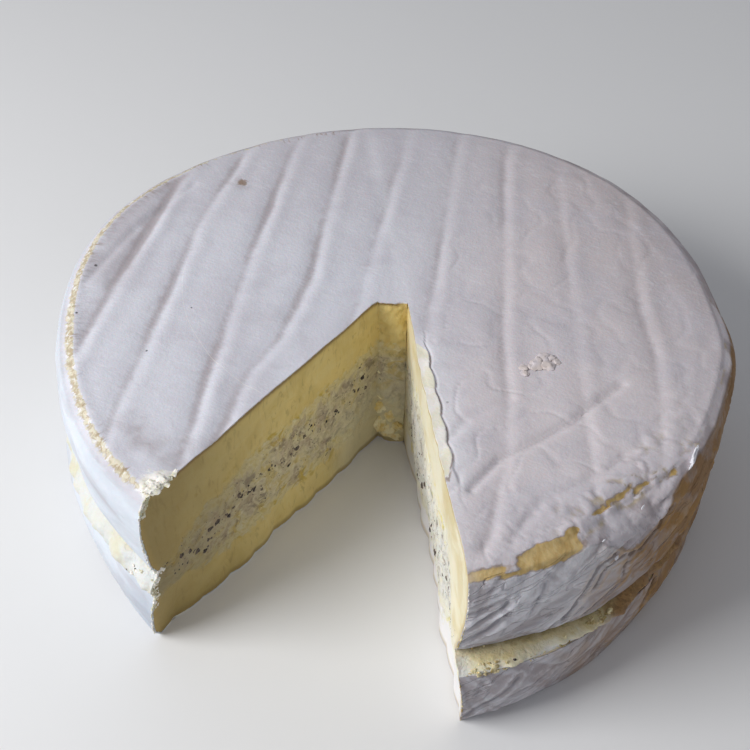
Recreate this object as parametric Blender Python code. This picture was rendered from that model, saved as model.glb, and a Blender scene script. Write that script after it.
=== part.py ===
"""A filled soft cheese wheel with one eighth cut out, as three solids: the upper half, the cream
layer that runs through the wheel, and the lower half. Lengths are metres, +Z is up, the wheel
rests on Z = 0 and the notch opens towards -Y."""

import math

import bmesh
import bpy
from mathutils import Vector

# Wheel
WHEEL_NAME = "filled_brie_wheel"
WHEEL_RADIUS = 0.1075
WHEEL_HEIGHT = 0.0649
NODE_GAP = 0.0003
STEPS_ROUND = 80
SWEEP_ANGLE = 1.5 * math.pi
MERGE_DISTANCE = 0.00005
SCORE_SNAP = 0.0006
SURFACE_TOLERANCE = 0.000001
SHARP_ANGLE = math.radians(40.0)

# Move of the finished wheel that brings the middle of its bounding box over the origin
CENTRING = (0.0, -0.0037, 0.0)

# Notch: the two knife planes, and the short blunt face where their meeting edge broke off, with
# the shares of the way round between which the spokes start along it and not at its corners
NOTCH_APEX = (0.0002, 0.0174)
NOTCH_HALF_ANGLE = math.radians(22.607)
BLUNT_LEFT_BACK = 0.0125
BLUNT_RIGHT_BACK = 0.0115
BLUNT_FACETS = 6
BLUNT_BULGE = 0.0011
BLUNT_SPOKES = (0.3, 0.7)
LEFT_CUT_ANGLE = -math.pi / 2 - NOTCH_HALF_ANGLE
RIGHT_CUT_ANGLE = -math.pi / 2 + NOTCH_HALF_ANGLE

# Distance of the rings from the blunt face, as shares of the way to the rim
RINGS = (0.0, 0.17, 0.36, 0.55, 0.70, 0.80, 0.88, 0.925, 1.0)

# Radius of each half, and the rim's bulges (+) and dents (-): angle and reach in degrees
# counter-clockwise from +X, size
UPPER_RADIUS = 0.1079
UPPER_SWELLS = (
    (7.0, 9.0, 0.0020),
    (60.0, 32.0, 0.0026),
    (168.0, 24.0, 0.0040),
    (202.0, 39.0, -0.0028),
    (343.0, 18.0, 0.0016),
)
LOWER_RADIUS = 0.1085
LOWER_SWELLS = (
    (161.0, 55.0, 0.0017),
    (222.0, 21.0, -0.0039),
    (296.0, 25.0, 0.0046),
    (349.0, 24.0, -0.0014),
)

# Outer walls from bottom to top: share of the wall's height, and offset from the radius above;
# the foot's edge also waves: waves round the wheel, phase, size
UPPER_WALL = (
    (0.00, -0.0034),
    (0.09, -0.0020),
    (0.24, -0.0011),
    (0.45, -0.0003),
    (0.66, 0.0000),
    (0.85, -0.0011),
    (0.95, -0.0028),
    (1.00, -0.0047),
)
CREAM_WALL = (
    (0.00, 0.0000),
    (0.35, 0.0011),
    (0.70, 0.0009),
    (1.00, 0.0000),
)
LOWER_WALL = (
    (0.00, -0.0038),
    (0.14, -0.0016),
    (0.41, 0.0000),
    (0.76, 0.0000),
    (1.00, -0.0018),
)
FOOT_SHARE = 0.3
FOOT_WAVES = (
    (9.0, 0.5, 0.0007),
    (14.0, 0.0, 0.0004),
)
CREAM_BELOW_UPPER = -0.0045
CREAM_ABOVE_LOWER = -0.0022

# Cream layer: heights of its two faces as shares of the wheel height, inside and along the rim,
# with the angles and reaches in degrees where the rim heights rise or fall
CREAM_TOP_INSIDE = 0.545
CREAM_TOP_RISE = 0.05
CREAM_TOP_RIM = 0.445
CREAM_TOP_RIM_SWELLS = (
    (220.0, 40.0, 0.065),
    (330.0, 22.0, -0.075),
)
CREAM_BOTTOM_INSIDE = 0.27
CREAM_BOTTOM_RIGHT = 0.20
CREAM_RIGHT_X = (-0.015, 0.025)
CREAM_RIGHT_Y = (0.030, -0.020)
CREAM_BOTTOM_RIM = 0.342
CREAM_BOTTOM_RIM_SWELLS = (
    (208.0, 28.0, -0.075),
    (298.0, 20.0, 0.040),
    (330.0, 14.0, -0.045),
)
CREAM_TAPER = (0.74, 0.93)
CREAM_WAVE = 0.0007
CREAM_WAVE_LENGTHS = (0.018, 0.020)
CREAM_TOP_PHASE = 0.8
CREAM_BOTTOM_PHASE = 2.2

# Squeezed cream at the rim: angle in degrees, half width in degrees, how far it stands out
CREAM_LUMPS = (
    (163.0, 7.0, 0.0010),
    (181.0, 6.0, 0.0013),
    (201.0, 6.0, 0.0012),
    (213.0, 5.0, 0.0022),
    (224.0, 5.0, 0.0026),
    (233.0, 4.0, 0.0021),
    (241.0, 4.0, 0.0016),
    (303.0, 4.0, 0.0017),
    (316.0, 5.0, 0.0012),
    (325.0, 4.0, 0.0020),
    (341.0, 6.0, 0.0009),
)

# Grooves that the draining mat left in the top: X where they cross Y = 0, lean of X per metre
# of Y, depth, and lift of the pillow to their right
MAT_GROOVES = (
    (-0.0890, -0.005, 0.0011, 0.0006),
    (-0.0707, -0.060, 0.0008, 0.0003),
    (-0.0498, -0.090, 0.0008, 0.0003),
    (-0.0330, -0.055, 0.0007, 0.0002),
    (-0.0105, -0.080, 0.0005, 0.0002),
    (0.0130, -0.130, 0.0004, 0.0001),
    (0.0370, -0.214, 0.0005, 0.0002),
    (0.0602, -0.250, 0.0003, 0.0001),
    (0.0825, -0.238, 0.0005, 0.0002),
)
GROOVE_HALF_WIDTH = 0.0026
PILLOW_OFFSET = 0.0048
PILLOW_HALF_WIDTH = 0.0030
GROOVE_LINES = (-0.0042, 0.0, 0.0048)

# Creases across the grooves: start, end, depth
CREASES = (
    ((0.0400, -0.0560), (0.0720, -0.0160), 0.0006),
    ((-0.0990, -0.0130), (-0.0830, 0.0470), 0.0004),
)
CREASE_HALF_WIDTH = 0.0021
CREASE_LINES = (-0.0034, 0.0, 0.0034)
CREASE_FADE = 0.012

# Edge of the top: where it starts and ends to fall, how far, and the worn bead along the left rim
EDGE_START = 0.87
EDGE_END = 0.96
EDGE_DROP = 0.0007
BEAD_RADIUS = 0.935
BEAD_HALF_WIDTH = 0.025
BEAD_HEIGHT = 0.0006
BEAD_MIDDLE = math.radians(208.0)
BEAD_REACH = math.radians(52.0)

# Waves that the knife left in the cut faces: length, size, phase; how they slant with height,
# how fast they fade behind the face, and where along it they begin
KNIFE_WAVES = (
    (0.043, 0.00045, 0.6),
    (0.024, 0.00030, 2.1),
)
KNIFE_SLANT = 0.011
KNIFE_FADE = 0.0035
KNIFE_BEGIN = (0.012, 0.032)

# Places where a cut face stands out (+) or falls back (-): cut, distance along it, height, reach
# along, reach in height, size
KNIFE_SWELLS = (
    ("left", 0.122, 0.000, 0.018, 0.014, -0.0026),
    ("left", 0.045, 0.022, 0.020, 0.012, 0.0007),
    ("right", 0.055, 0.004, 0.030, 0.012, -0.0013),
    ("right", 0.122, 0.028, 0.014, 0.012, 0.0018),
    ("right", 0.060, 0.034, 0.025, 0.012, 0.0006),
)

# Finishes: colour, roughness
RIND_COLOUR = (0.72, 0.70, 0.71, 1.0)
CREAM_COLOUR = (0.78, 0.75, 0.66, 1.0)
RIND_ROUGHNESS = 0.8
CREAM_ROUGHNESS = 0.6


def smooth_step(low, high, value):
    """0 at low, 1 at high, smooth between; low may be the larger of the two."""
    share = min(max((value - low) / (high - low), 0.0), 1.0)
    return share * share * (3.0 - 2.0 * share)


def bell(offset, half_width):
    return math.exp(-((offset / half_width) ** 2))


def wrapped(angle):
    """The angle brought between minus and plus half a turn."""
    return (angle + math.pi) % (2.0 * math.pi) - math.pi


def swelled(base, swells, angle):
    """The base value with a bell added at each swell's angle, given in degrees."""
    return base + sum(
        size * bell(math.degrees(wrapped(angle - math.radians(middle))), reach)
        for middle, reach, size in swells
    )


def profile_value(profile, share):
    """The offset of a wall profile at this share of its height, in straight pieces."""
    for (low, start), (high, end) in zip(profile, profile[1:]):
        if share <= high:
            return start + (end - start) * (share - low) / (high - low)
    return profile[-1][1]


def upper_radius(angle):
    return swelled(UPPER_RADIUS, UPPER_SWELLS, angle)


def lower_radius(angle):
    return swelled(LOWER_RADIUS, LOWER_SWELLS, angle)


def upper_reach(angle, share):
    return upper_radius(angle) + profile_value(UPPER_WALL, share)


def lower_reach(angle, share):
    waves = sum(size * math.sin(count * angle + phase) for count, phase, size in FOOT_WAVES)
    foot = waves * smooth_step(FOOT_SHARE, 0.0, share)
    return lower_radius(angle) + profile_value(LOWER_WALL, share) + foot


def cream_reach(angle, share):
    above = upper_radius(angle) + CREAM_BELOW_UPPER
    below = lower_radius(angle) + CREAM_ABOVE_LOWER
    squeezed = swelled(0.0, CREAM_LUMPS, angle) * math.sin(math.pi * min(share * 1.1, 1.0))
    return below + (above - below) * share + profile_value(CREAM_WALL, share) + squeezed


def rim_taper(x, y):
    return smooth_step(*CREAM_TAPER, math.hypot(x, y) / WHEEL_RADIUS)


def layer_height(x, y, inside, rim, phase):
    """Height of a face of the cream: waved inside, and led to the rim's share of the height."""
    taper = rim_taper(x, y)
    wave = CREAM_WAVE * math.sin(x / CREAM_WAVE_LENGTHS[0] + phase)
    wave *= math.cos(y / CREAM_WAVE_LENGTHS[1] + 0.5 * phase)
    return (inside + (rim - inside) * taper) * WHEEL_HEIGHT + wave * (1.0 - taper)


def cream_top(x, y):
    """Height of the face where the upper half meets the cream."""
    inside = CREAM_TOP_INSIDE + CREAM_TOP_RISE * (1.0 - math.hypot(x, y) / WHEEL_RADIUS)
    rim = swelled(CREAM_TOP_RIM, CREAM_TOP_RIM_SWELLS, math.atan2(y, x))
    return layer_height(x, y, inside, rim, CREAM_TOP_PHASE)


def cream_bottom(x, y):
    """Height of the face where the cream meets the lower half."""
    to_right = smooth_step(*CREAM_RIGHT_X, x) * smooth_step(*CREAM_RIGHT_Y, y)
    inside = CREAM_BOTTOM_INSIDE + (CREAM_BOTTOM_RIGHT - CREAM_BOTTOM_INSIDE) * to_right
    rim = swelled(CREAM_BOTTOM_RIM, CREAM_BOTTOM_RIM_SWELLS, math.atan2(y, x))
    return layer_height(x, y, inside, rim, CREAM_BOTTOM_PHASE)


def groove_relief(offset, depth, lift):
    """Height of one mat groove at this distance to its right."""
    valley = -depth * bell(offset, GROOVE_HALF_WIDTH)
    return valley + lift * bell(offset - PILLOW_OFFSET, PILLOW_HALF_WIDTH)


def crease_place(x, y, start, end):
    """Distance of a point along and across a crease."""
    way = Vector(end) - Vector(start)
    along = way.normalized()
    point = Vector((x, y)) - Vector(start)
    return point.dot(along), along.x * point.y - along.y * point.x, way.length


def crease_relief(x, y, start, end, depth):
    along, across, length = crease_place(x, y, start, end)
    ends = smooth_step(0.0, CREASE_FADE, along) * smooth_step(length, length - CREASE_FADE, along)
    return -depth * bell(across, CREASE_HALF_WIDTH) * ends


def top_relief(x, y):
    """Height of the top surface above the wheel height: mat grooves, rim edge and worn bead."""
    angle = math.atan2(y, x)
    from_middle = math.hypot(x, y) / upper_radius(angle)
    inside = 1.0 - smooth_step(EDGE_START, 1.0, from_middle)
    relief = -EDGE_DROP * smooth_step(EDGE_START, EDGE_END, from_middle)
    for cross, lean, depth, lift in MAT_GROOVES:
        relief += groove_relief(x - cross - lean * y, depth, lift) * inside
    for start, end, depth in CREASES:
        relief += crease_relief(x, y, start, end, depth) * inside
    bead = bell(from_middle - BEAD_RADIUS, BEAD_HALF_WIDTH)
    return relief + BEAD_HEIGHT * bead * bell(wrapped(angle - BEAD_MIDDLE), BEAD_REACH)


def notch_point(angle, distance):
    """The point of a knife plane at this distance from the line where the two planes meet."""
    return Vector(
        (
            NOTCH_APEX[0] + distance * math.cos(angle),
            NOTCH_APEX[1] + distance * math.sin(angle),
        )
    )


def rim_distance(angle):
    """Distance from the meeting line to the plain rim circle along a knife plane."""
    along = NOTCH_APEX[0] * math.cos(angle) + NOTCH_APEX[1] * math.sin(angle)
    apex_squared = NOTCH_APEX[0] ** 2 + NOTCH_APEX[1] ** 2
    return -along + math.sqrt(along**2 - apex_squared + WHEEL_RADIUS**2)


def blunt_point(share):
    """Where the spoke at this share of the way round, from right to left cut, starts: a corner of
    the blunt face."""
    first, last = BLUNT_SPOKES
    along = min(max((share - first) / (last - first), 0.0), 1.0)
    facet = round(along * BLUNT_FACETS) / BLUNT_FACETS
    right = notch_point(RIGHT_CUT_ANGLE, BLUNT_RIGHT_BACK)
    left = notch_point(LEFT_CUT_ANGLE, BLUNT_LEFT_BACK)
    point = right.lerp(left, facet)
    point.y -= BLUNT_BULGE * math.sin(math.pi * facet)
    return point


def rim_point(share):
    """A point of the plain rim circle, from the right cut round the back to the left cut."""
    right = notch_point(RIGHT_CUT_ANGLE, rim_distance(RIGHT_CUT_ANGLE))
    left = notch_point(LEFT_CUT_ANGLE, rim_distance(LEFT_CUT_ANGLE))
    start = math.atan2(right.y, right.x)
    end = math.atan2(left.y, left.x) + 2.0 * math.pi
    angle = start + (end - start) * share
    return Vector((WHEEL_RADIUS * math.cos(angle), WHEEL_RADIUS * math.sin(angle)))


def wall_point(base, rim, reach, height_share):
    """Where the line from base to rim leaves the wall; reach gives the wall's radius there."""
    along = (rim - base).normalized()
    point = rim.copy()
    for _ in range(3):
        angle = math.atan2(point.y, point.x)
        missing = reach(angle, height_share) - point.length
        point = point + along * (missing / along.dot(point.normalized()))
    return point


def knife_swell(cut, along, height):
    return sum(
        size * bell(along - middle, reach) * bell(height - level, reach_up)
        for name, middle, level, reach, reach_up, size in KNIFE_SWELLS
        if name == cut
    )


def knife_wave(point, height):
    """The point moved off its knife plane by the knife's waves, less the further it lies from it."""
    for cut, cut_angle, turn in (("left", LEFT_CUT_ANGLE, -1.0), ("right", RIGHT_CUT_ANGLE, 1.0)):
        along_x, along_y = math.cos(cut_angle), math.sin(cut_angle)
        from_x, from_y = point.x - NOTCH_APEX[0], point.y - NOTCH_APEX[1]
        along = from_x * along_x + from_y * along_y
        away = abs(from_x * along_y - from_y * along_x)
        if along < 0.0:
            continue
        fade = math.exp(-away / KNIFE_FADE) * smooth_step(*KNIFE_BEGIN, along)
        slant = height / KNIFE_SLANT
        wave = knife_swell(cut, along, height) + sum(
            size * math.sin(2.0 * math.pi * along / length + phase * (2.0 - turn) + slant)
            for length, size, phase in KNIFE_WAVES
        )
        point = point + Vector((along_y * turn, -along_x * turn)) * (wave * fade)
    return point


def swept_sheet(rings, levels, steps):
    """A sheet of rings by levels cells swept round, its places held as angle, radius and height.
    The sheet spans radius 1 to 2 and height 0 to 1 until the layer gives it its real shape."""
    mesh = bmesh.new()
    bmesh.ops.create_grid(mesh, x_segments=rings, y_segments=levels, size=0.5)
    for vert in mesh.verts:
        vert.co = Vector((vert.co.x + 1.5, 0.0, vert.co.y + 0.5))
    bmesh.ops.spin(
        mesh,
        geom=mesh.verts[:] + mesh.edges[:] + mesh.faces[:],
        axis=(0.0, 0.0, 1.0),
        cent=(0.0, 0.0, 0.0),
        steps=steps,
        angle=SWEEP_ANGLE,
    )
    return mesh


def sheet_place(vert, rings, levels, steps):
    """The whole-number place of a vertex of the swept sheet: step round, ring and level."""
    past_start = wrapped(math.atan2(vert.co.y, vert.co.x) - SWEEP_ANGLE / 2.0)
    step = round((past_start / SWEEP_ANGLE + 0.5) * steps)
    ring = round((math.hypot(vert.co.x, vert.co.y) - 1.0) * rings)
    return step, ring, round(vert.co.z * levels)


def layer(reach, levels, bottom, top):
    """One layer of the wheel between two height functions, with its wall and its two cut faces."""
    ring_count, level_count = len(RINGS) - 1, len(levels) - 1
    mesh = swept_sheet(ring_count, level_count, STEPS_ROUND)
    for vert in mesh.verts:
        step, ring, level = sheet_place(vert, ring_count, level_count, STEPS_ROUND)
        base = blunt_point(step / STEPS_ROUND)
        rim = rim_point(step / STEPS_ROUND)
        if ring == ring_count:
            plan = wall_point(base, rim, reach, levels[level])
        else:
            plan = base.lerp(rim, RINGS[ring])
        low, high = bottom(plan.x, plan.y), top(plan.x, plan.y)
        height = low + (high - low) * levels[level]
        plan = knife_wave(plan, height)
        vert.co = Vector((plan.x, plan.y, height))
    bmesh.ops.remove_doubles(mesh, verts=mesh.verts, dist=MERGE_DISTANCE)
    bmesh.ops.recalc_face_normals(mesh, faces=mesh.faces)
    return mesh


def score(mesh, faces, point, normal):
    """Edges where the faces cross a plane."""
    edges = {edge for face in faces for edge in face.edges}
    verts = {vert for face in faces for vert in face.verts}
    bmesh.ops.bisect_plane(
        mesh,
        geom=[*verts, *edges, *faces],
        dist=SCORE_SNAP,
        plane_co=point,
        plane_no=normal,
    )


def in_top(height):
    return height > WHEEL_HEIGHT - SURFACE_TOLERANCE


def top_faces(mesh):
    return [face for face in mesh.faces if in_top(face.calc_center_median().z)]


def near_crease(face, start, end):
    centre = face.calc_center_median()
    along, across, length = crease_place(centre.x, centre.y, start, end)
    return -CREASE_FADE < along < length + CREASE_FADE and abs(across) < CREASE_FADE


def score_top(mesh):
    """Edges along the mat grooves and creases in the flat top, for the relief to bend at."""
    for cross, lean, _, _ in MAT_GROOVES:
        for shift in GROOVE_LINES:
            score(mesh, top_faces(mesh), (cross + shift, 0.0, 0.0), (1.0, -lean, 0.0))
    for start, end, _ in CREASES:
        way = Vector(end) - Vector(start)
        across = Vector((-way.y, way.x)).normalized()
        for shift in CREASE_LINES:
            point = Vector(start) + across * shift
            near = [face for face in top_faces(mesh) if near_crease(face, start, end)]
            score(mesh, near, (*point, 0.0), (*across, 0.0))


def press_top(mesh):
    """The relief pressed into the flat top."""
    for vert in mesh.verts:
        if in_top(vert.co.z):
            vert.co.z += top_relief(vert.co.x, vert.co.y)


def finish(name, colour, roughness):
    material = bpy.data.materials.new(name)
    material.use_nodes = True
    shader = material.node_tree.nodes["Principled BSDF"]
    shader.inputs["Base Color"].default_value = colour
    shader.inputs["Roughness"].default_value = roughness
    shader.inputs["Metallic"].default_value = 0.0
    return material


def add_object(name, mesh, material, collection):
    data = bpy.data.meshes.new(name)
    bmesh.ops.translate(mesh, verts=mesh.verts, vec=CENTRING)
    bmesh.ops.triangulate(mesh, faces=mesh.faces[:])
    mesh.to_mesh(data)
    mesh.free()
    data.shade_smooth()
    data.set_sharp_from_angle(angle=SHARP_ANGLE)
    data.materials.append(material)
    collection.objects.link(bpy.data.objects.new(name, data))


def levels_of(profile):
    """The heights, as shares of the wall, at which a profile has its points."""
    return tuple(share for share, _ in profile)


def brie_upper():
    mesh = layer(
        upper_reach,
        levels_of(UPPER_WALL),
        lambda x, y: cream_top(x, y) + NODE_GAP / 2.0,
        lambda x, y: WHEEL_HEIGHT,
    )
    score_top(mesh)
    press_top(mesh)
    return mesh


def truffle_cream():
    return layer(
        cream_reach,
        levels_of(CREAM_WALL),
        lambda x, y: cream_bottom(x, y) + NODE_GAP / 2.0,
        lambda x, y: cream_top(x, y) - NODE_GAP / 2.0,
    )


def brie_lower():
    return layer(
        lower_reach,
        levels_of(LOWER_WALL),
        lambda x, y: 0.0,
        lambda x, y: cream_bottom(x, y) - NODE_GAP / 2.0,
    )


def main():
    for obj in list(bpy.data.objects):
        bpy.data.objects.remove(obj)
    wheel = bpy.data.collections.new(WHEEL_NAME)
    bpy.context.scene.collection.children.link(wheel)
    add_object("brie_upper", brie_upper(), finish("upper_rind", RIND_COLOUR, RIND_ROUGHNESS), wheel)
    add_object("truffle_cream", truffle_cream(), finish("cream", CREAM_COLOUR, CREAM_ROUGHNESS), wheel)
    add_object("brie_lower", brie_lower(), finish("lower_rind", RIND_COLOUR, RIND_ROUGHNESS), wheel)


main()
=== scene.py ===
"""The looks of a filled soft cheese wheel with one eighth cut out: white rind pressed by a draining
mat, yellow paste at the cuts, and a truffle cream that fills the middle and squeezes out of the
seam. It is laid out as an add-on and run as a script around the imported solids. Lengths are metres."""

import math
import random

import bmesh
import bpy
import numpy as np
from bpy.props import FloatProperty, FloatVectorProperty, IntProperty, PointerProperty
from mathutils import Matrix, Vector, noise


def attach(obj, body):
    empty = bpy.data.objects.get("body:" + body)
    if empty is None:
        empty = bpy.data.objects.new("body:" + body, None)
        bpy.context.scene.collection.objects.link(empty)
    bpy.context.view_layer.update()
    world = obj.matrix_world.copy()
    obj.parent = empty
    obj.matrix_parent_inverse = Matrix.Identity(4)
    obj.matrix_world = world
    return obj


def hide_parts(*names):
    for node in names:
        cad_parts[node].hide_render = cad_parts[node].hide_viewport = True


bl_info = {
    "name": "Filled Cheese Wheel",
    "version": (1, 0, 0),
    "blender": (4, 5, 0),
    "location": "3D View > Sidebar > Cheese",
    "description": "Rind, paste, truffle cream, crumbs and stage of a cut and filled cheese wheel",
    "category": "Add Mesh",
}

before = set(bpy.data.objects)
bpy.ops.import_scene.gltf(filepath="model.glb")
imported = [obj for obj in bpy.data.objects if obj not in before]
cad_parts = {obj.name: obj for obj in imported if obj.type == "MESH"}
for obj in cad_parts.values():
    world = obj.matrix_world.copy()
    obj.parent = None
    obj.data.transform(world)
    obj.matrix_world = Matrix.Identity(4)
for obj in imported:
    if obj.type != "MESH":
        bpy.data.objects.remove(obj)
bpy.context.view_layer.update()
BODY = "root"
MM = 0.001
UP = Vector((0.0, 0.0, 1.0))
BACKWARD = Vector((0.0, 1.0, 0.0))

# Wheel, as the solids have it
WHEEL_RADIUS = 0.1075
WHEEL_HEIGHT = 0.0649
SWEEP_ANGLE = 1.5 * math.pi
CENTRING = (0.0, -0.0037, 0.0)

# Notch: the two knife planes and the blunt face between them
NOTCH_APEX = (0.0002, 0.0174)
NOTCH_HALF_ANGLE = math.radians(22.607)
BLUNT_LEFT_BACK = 0.0125
BLUNT_RIGHT_BACK = 0.0115
BLUNT_BULGE = 0.0011
BLUNT_SPOKES = (0.3, 0.7)
LEFT_CUT_ANGLE = -math.pi / 2 - NOTCH_HALF_ANGLE
RIGHT_CUT_ANGLE = -math.pi / 2 + NOTCH_HALF_ANGLE

# Radius of each half and its bulges (+) and dents (-): angle and reach in degrees, size
UPPER_RADIUS = 0.1079
UPPER_SWELLS = (
    (7.0, 9.0, 0.0020),
    (60.0, 32.0, 0.0026),
    (168.0, 24.0, 0.0040),
    (202.0, 39.0, -0.0028),
    (343.0, 18.0, 0.0016),
)
LOWER_RADIUS = 0.1085
LOWER_SWELLS = (
    (161.0, 55.0, 0.0017),
    (222.0, 21.0, -0.0039),
    (296.0, 25.0, 0.0046),
    (349.0, 24.0, -0.0014),
)

# Outer walls from bottom to top: share of the wall's height, offset from the radius above
UPPER_WALL = (
    (0.00, -0.0034),
    (0.09, -0.0020),
    (0.24, -0.0011),
    (0.45, -0.0003),
    (0.66, 0.0000),
    (0.85, -0.0011),
    (0.95, -0.0028),
    (1.00, -0.0047),
)
CREAM_WALL = (
    (0.00, 0.0000),
    (0.35, 0.0011),
    (0.70, 0.0009),
    (1.00, 0.0000),
)
LOWER_WALL = (
    (0.00, -0.0038),
    (0.14, -0.0016),
    (0.41, 0.0000),
    (0.76, 0.0000),
    (1.00, -0.0018),
)
FOOT_SHARE = 0.3
FOOT_WAVES = (
    (9.0, 0.5, 0.0007),
    (14.0, 0.0, 0.0004),
)
CREAM_BELOW_UPPER = -0.0045
CREAM_ABOVE_LOWER = -0.0022

# Cream layer: heights of its faces as shares of the wheel height
CREAM_TOP_INSIDE = 0.545
CREAM_TOP_RISE = 0.05
CREAM_TOP_RIM = 0.445
CREAM_TOP_RIM_SWELLS = (
    (220.0, 40.0, 0.065),
    (330.0, 22.0, -0.075),
)
CREAM_BOTTOM_INSIDE = 0.27
CREAM_BOTTOM_RIGHT = 0.20
CREAM_RIGHT_X = (-0.015, 0.025)
CREAM_RIGHT_Y = (0.030, -0.020)
CREAM_BOTTOM_RIM = 0.342
CREAM_BOTTOM_RIM_SWELLS = (
    (208.0, 28.0, -0.075),
    (298.0, 20.0, 0.040),
    (330.0, 14.0, -0.045),
)
CREAM_TAPER = (0.74, 0.93)
CREAM_WAVE = 0.0007
CREAM_WAVE_LENGTHS = (0.018, 0.020)
CREAM_TOP_PHASE = 0.8
CREAM_BOTTOM_PHASE = 2.2
CREAM_LUMPS = (
    (163.0, 7.0, 0.0010),
    (181.0, 6.0, 0.0013),
    (201.0, 6.0, 0.0012),
    (213.0, 5.0, 0.0022),
    (224.0, 5.0, 0.0026),
    (233.0, 4.0, 0.0021),
    (241.0, 4.0, 0.0016),
    (303.0, 4.0, 0.0017),
    (316.0, 5.0, 0.0012),
    (325.0, 4.0, 0.0020),
    (341.0, 6.0, 0.0009),
)

# Waves and swells that the knife left in the cut faces
KNIFE_WAVES = (
    (0.043, 0.00045, 0.6),
    (0.024, 0.00030, 2.1),
)
KNIFE_SLANT = 0.011
KNIFE_FADE = 0.0035
KNIFE_BEGIN = (0.012, 0.032)
KNIFE_CALM = 0.75
KNIFE_CALM_HEIGHT = (0.030, 0.062)
KNIFE_SWELLS = (
    ("left", 0.122, 0.000, 0.018, 0.014, -0.0026),
    ("left", 0.045, 0.022, 0.020, 0.012, 0.0007),
    ("right", 0.055, 0.004, 0.030, 0.012, -0.0013),
    ("right", 0.122, 0.028, 0.014, 0.012, 0.0018),
    ("right", 0.060, 0.034, 0.025, 0.012, 0.0006),
)
CUTS = {"left": (LEFT_CUT_ANGLE, -1.0), "right": (RIGHT_CUT_ANGLE, 1.0)}

# Mat grooves: points (y, x) along each, depth, lift of the pillow to the right
MAT_GROOVES = (
    (((-0.080, -0.0885), (0.000, -0.0890), (0.090, -0.0892)), 0.0012, 0.0006),
    (((-0.074, -0.0660), (-0.010, -0.0707), (0.027, -0.0739), (0.074, -0.0716)), 0.0008, 0.0003),
    (((-0.078, -0.0410), (-0.041, -0.0458), (0.016, -0.0514), (0.082, -0.0559)), 0.0008, 0.0003),
    (
        ((-0.066, -0.0340), (-0.036, -0.0340), (-0.021, -0.0295), (0.010, -0.0290), (0.090, -0.0390)),
        0.0008,
        0.0003,
    ),
    (((-0.040, -0.0080), (0.000, -0.0105), (0.095, -0.0180)), 0.0005, 0.0002),
    (((-0.040, 0.0180), (0.000, 0.0130), (0.095, 0.0007)), 0.0005, 0.0002),
    (((-0.056, 0.0488), (-0.028, 0.0439), (-0.007, 0.0385), (0.090, 0.0190)), 0.0006, 0.0003),
    (((-0.060, 0.0760), (-0.022, 0.0657), (0.000, 0.0602), (0.085, 0.0390)), 0.0004, 0.0002),
    (
        ((-0.060, 0.0950), (-0.040, 0.0919), (0.003, 0.0841), (0.023, 0.0769), (0.080, 0.0640)),
        0.0006,
        0.0003,
    ),
)
GROOVE_LEFT_SLOPE = 0.0036
GROOVE_RIGHT_SLOPE = 0.0023
GROOVE_STRENGTH = 0.88
GROOVE_STRENGTH_WAVE = 0.26
GROOVE_WAVE_LENGTH = 0.013
GROOVE_PHASE_STEP = 2.4
GROOVE_SHARE = 0.85
PILLOW_OFFSET = 0.0038
PILLOW_HALF_WIDTH = 0.0026
VALLEY_OFFSET = 0.0007
VALLEY_HALF_WIDTH = 0.0014
VALLEY_DEPTH = 0.0010

# Creases of the top: points (x, y) along each, depth
CREASES = (
    (
        (
            (0.0410, -0.0650),
            (0.0466, -0.0515),
            (0.0563, -0.0413),
            (0.0648, -0.0306),
            (0.0706, -0.0204),
            (0.0761, -0.0123),
        ),
        0.0010,
    ),
    (((-0.0990, -0.0130), (-0.0935, 0.0200), (-0.0830, 0.0470)), 0.0006),
    (((0.0560, -0.0800), (0.0610, -0.0640), (0.0760, -0.0500), (0.0850, -0.0330)), 0.0005),
    (((0.0290, -0.0560), (0.0330, -0.0400), (0.0450, -0.0270)), 0.0004),
)
CREASE_HALF_WIDTH = 0.0014

# Where the top falls off, how the rim is rounded, and the worn bead along its left
EDGE_START = 0.87
EDGE_END = 0.96
EDGE_DROP = 0.0007
RIM_ROUND = 0.0018
RIM_ROUND_SWELLS = (
    (202.0, 30.0, 0.0012),
    (326.0, 8.5, 0.0080),
    (330.0, 20.0, 0.0006),
)
BEAD_RADIUS = 0.935
BEAD_HALF_WIDTH = 0.025
BEAD_HEIGHT = 0.0006
BEAD_MIDDLE = math.radians(208.0)
BEAD_REACH = math.radians(52.0)

# Cells of the blocks that the layers are made from: along a spoke, round the wheel and up the wall,
# how they crowd towards the outside, and which of them stay on the sides that other layers hide
RIM_CELLS = 84
ROUND_CELLS = 520
UPPER_LEVELS = 38
CREAM_LEVELS = 20
LOWER_LEVELS = 24
RING_CROWDING = 1.12
ROUND_CROWDING = 0.45
LEVEL_CROWDING = 1.2
HIDDEN_RING_STEP = 14
HIDDEN_ROUND_STEP = 13
HIDDEN_OPEN_RIM = 0.9
MERGE_DISTANCE = 0.00003
ON_SIDE = 0.0001
RELIEF_FADE = 0.006
END_FADE = 0.0045
SHARP_ANGLE = math.radians(50.0)


def smooth_step(low, high, value):
    """0 at low, 1 at high, smooth between; low may be the larger of the two."""
    share = np.clip((value - low) / (high - low), 0.0, 1.0)
    return share * share * (3.0 - 2.0 * share)


def bell(offset, half_width):
    return np.exp(-((offset / half_width) ** 2))


def wrapped(angle):
    """The angle brought between minus and plus half a turn."""
    return (angle + math.pi) % (2.0 * math.pi) - math.pi


def degrees_off(angle, middle):
    """Degrees from a middle round to the angle, between minus and plus half a turn."""
    return np.degrees(wrapped(angle - math.radians(middle)))


def swelled(base, swells, angle):
    """The base value with a bell added at each swell's angle, given in degrees."""
    return base + sum(size * bell(degrees_off(angle, middle), reach) for middle, reach, size in swells)


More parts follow.
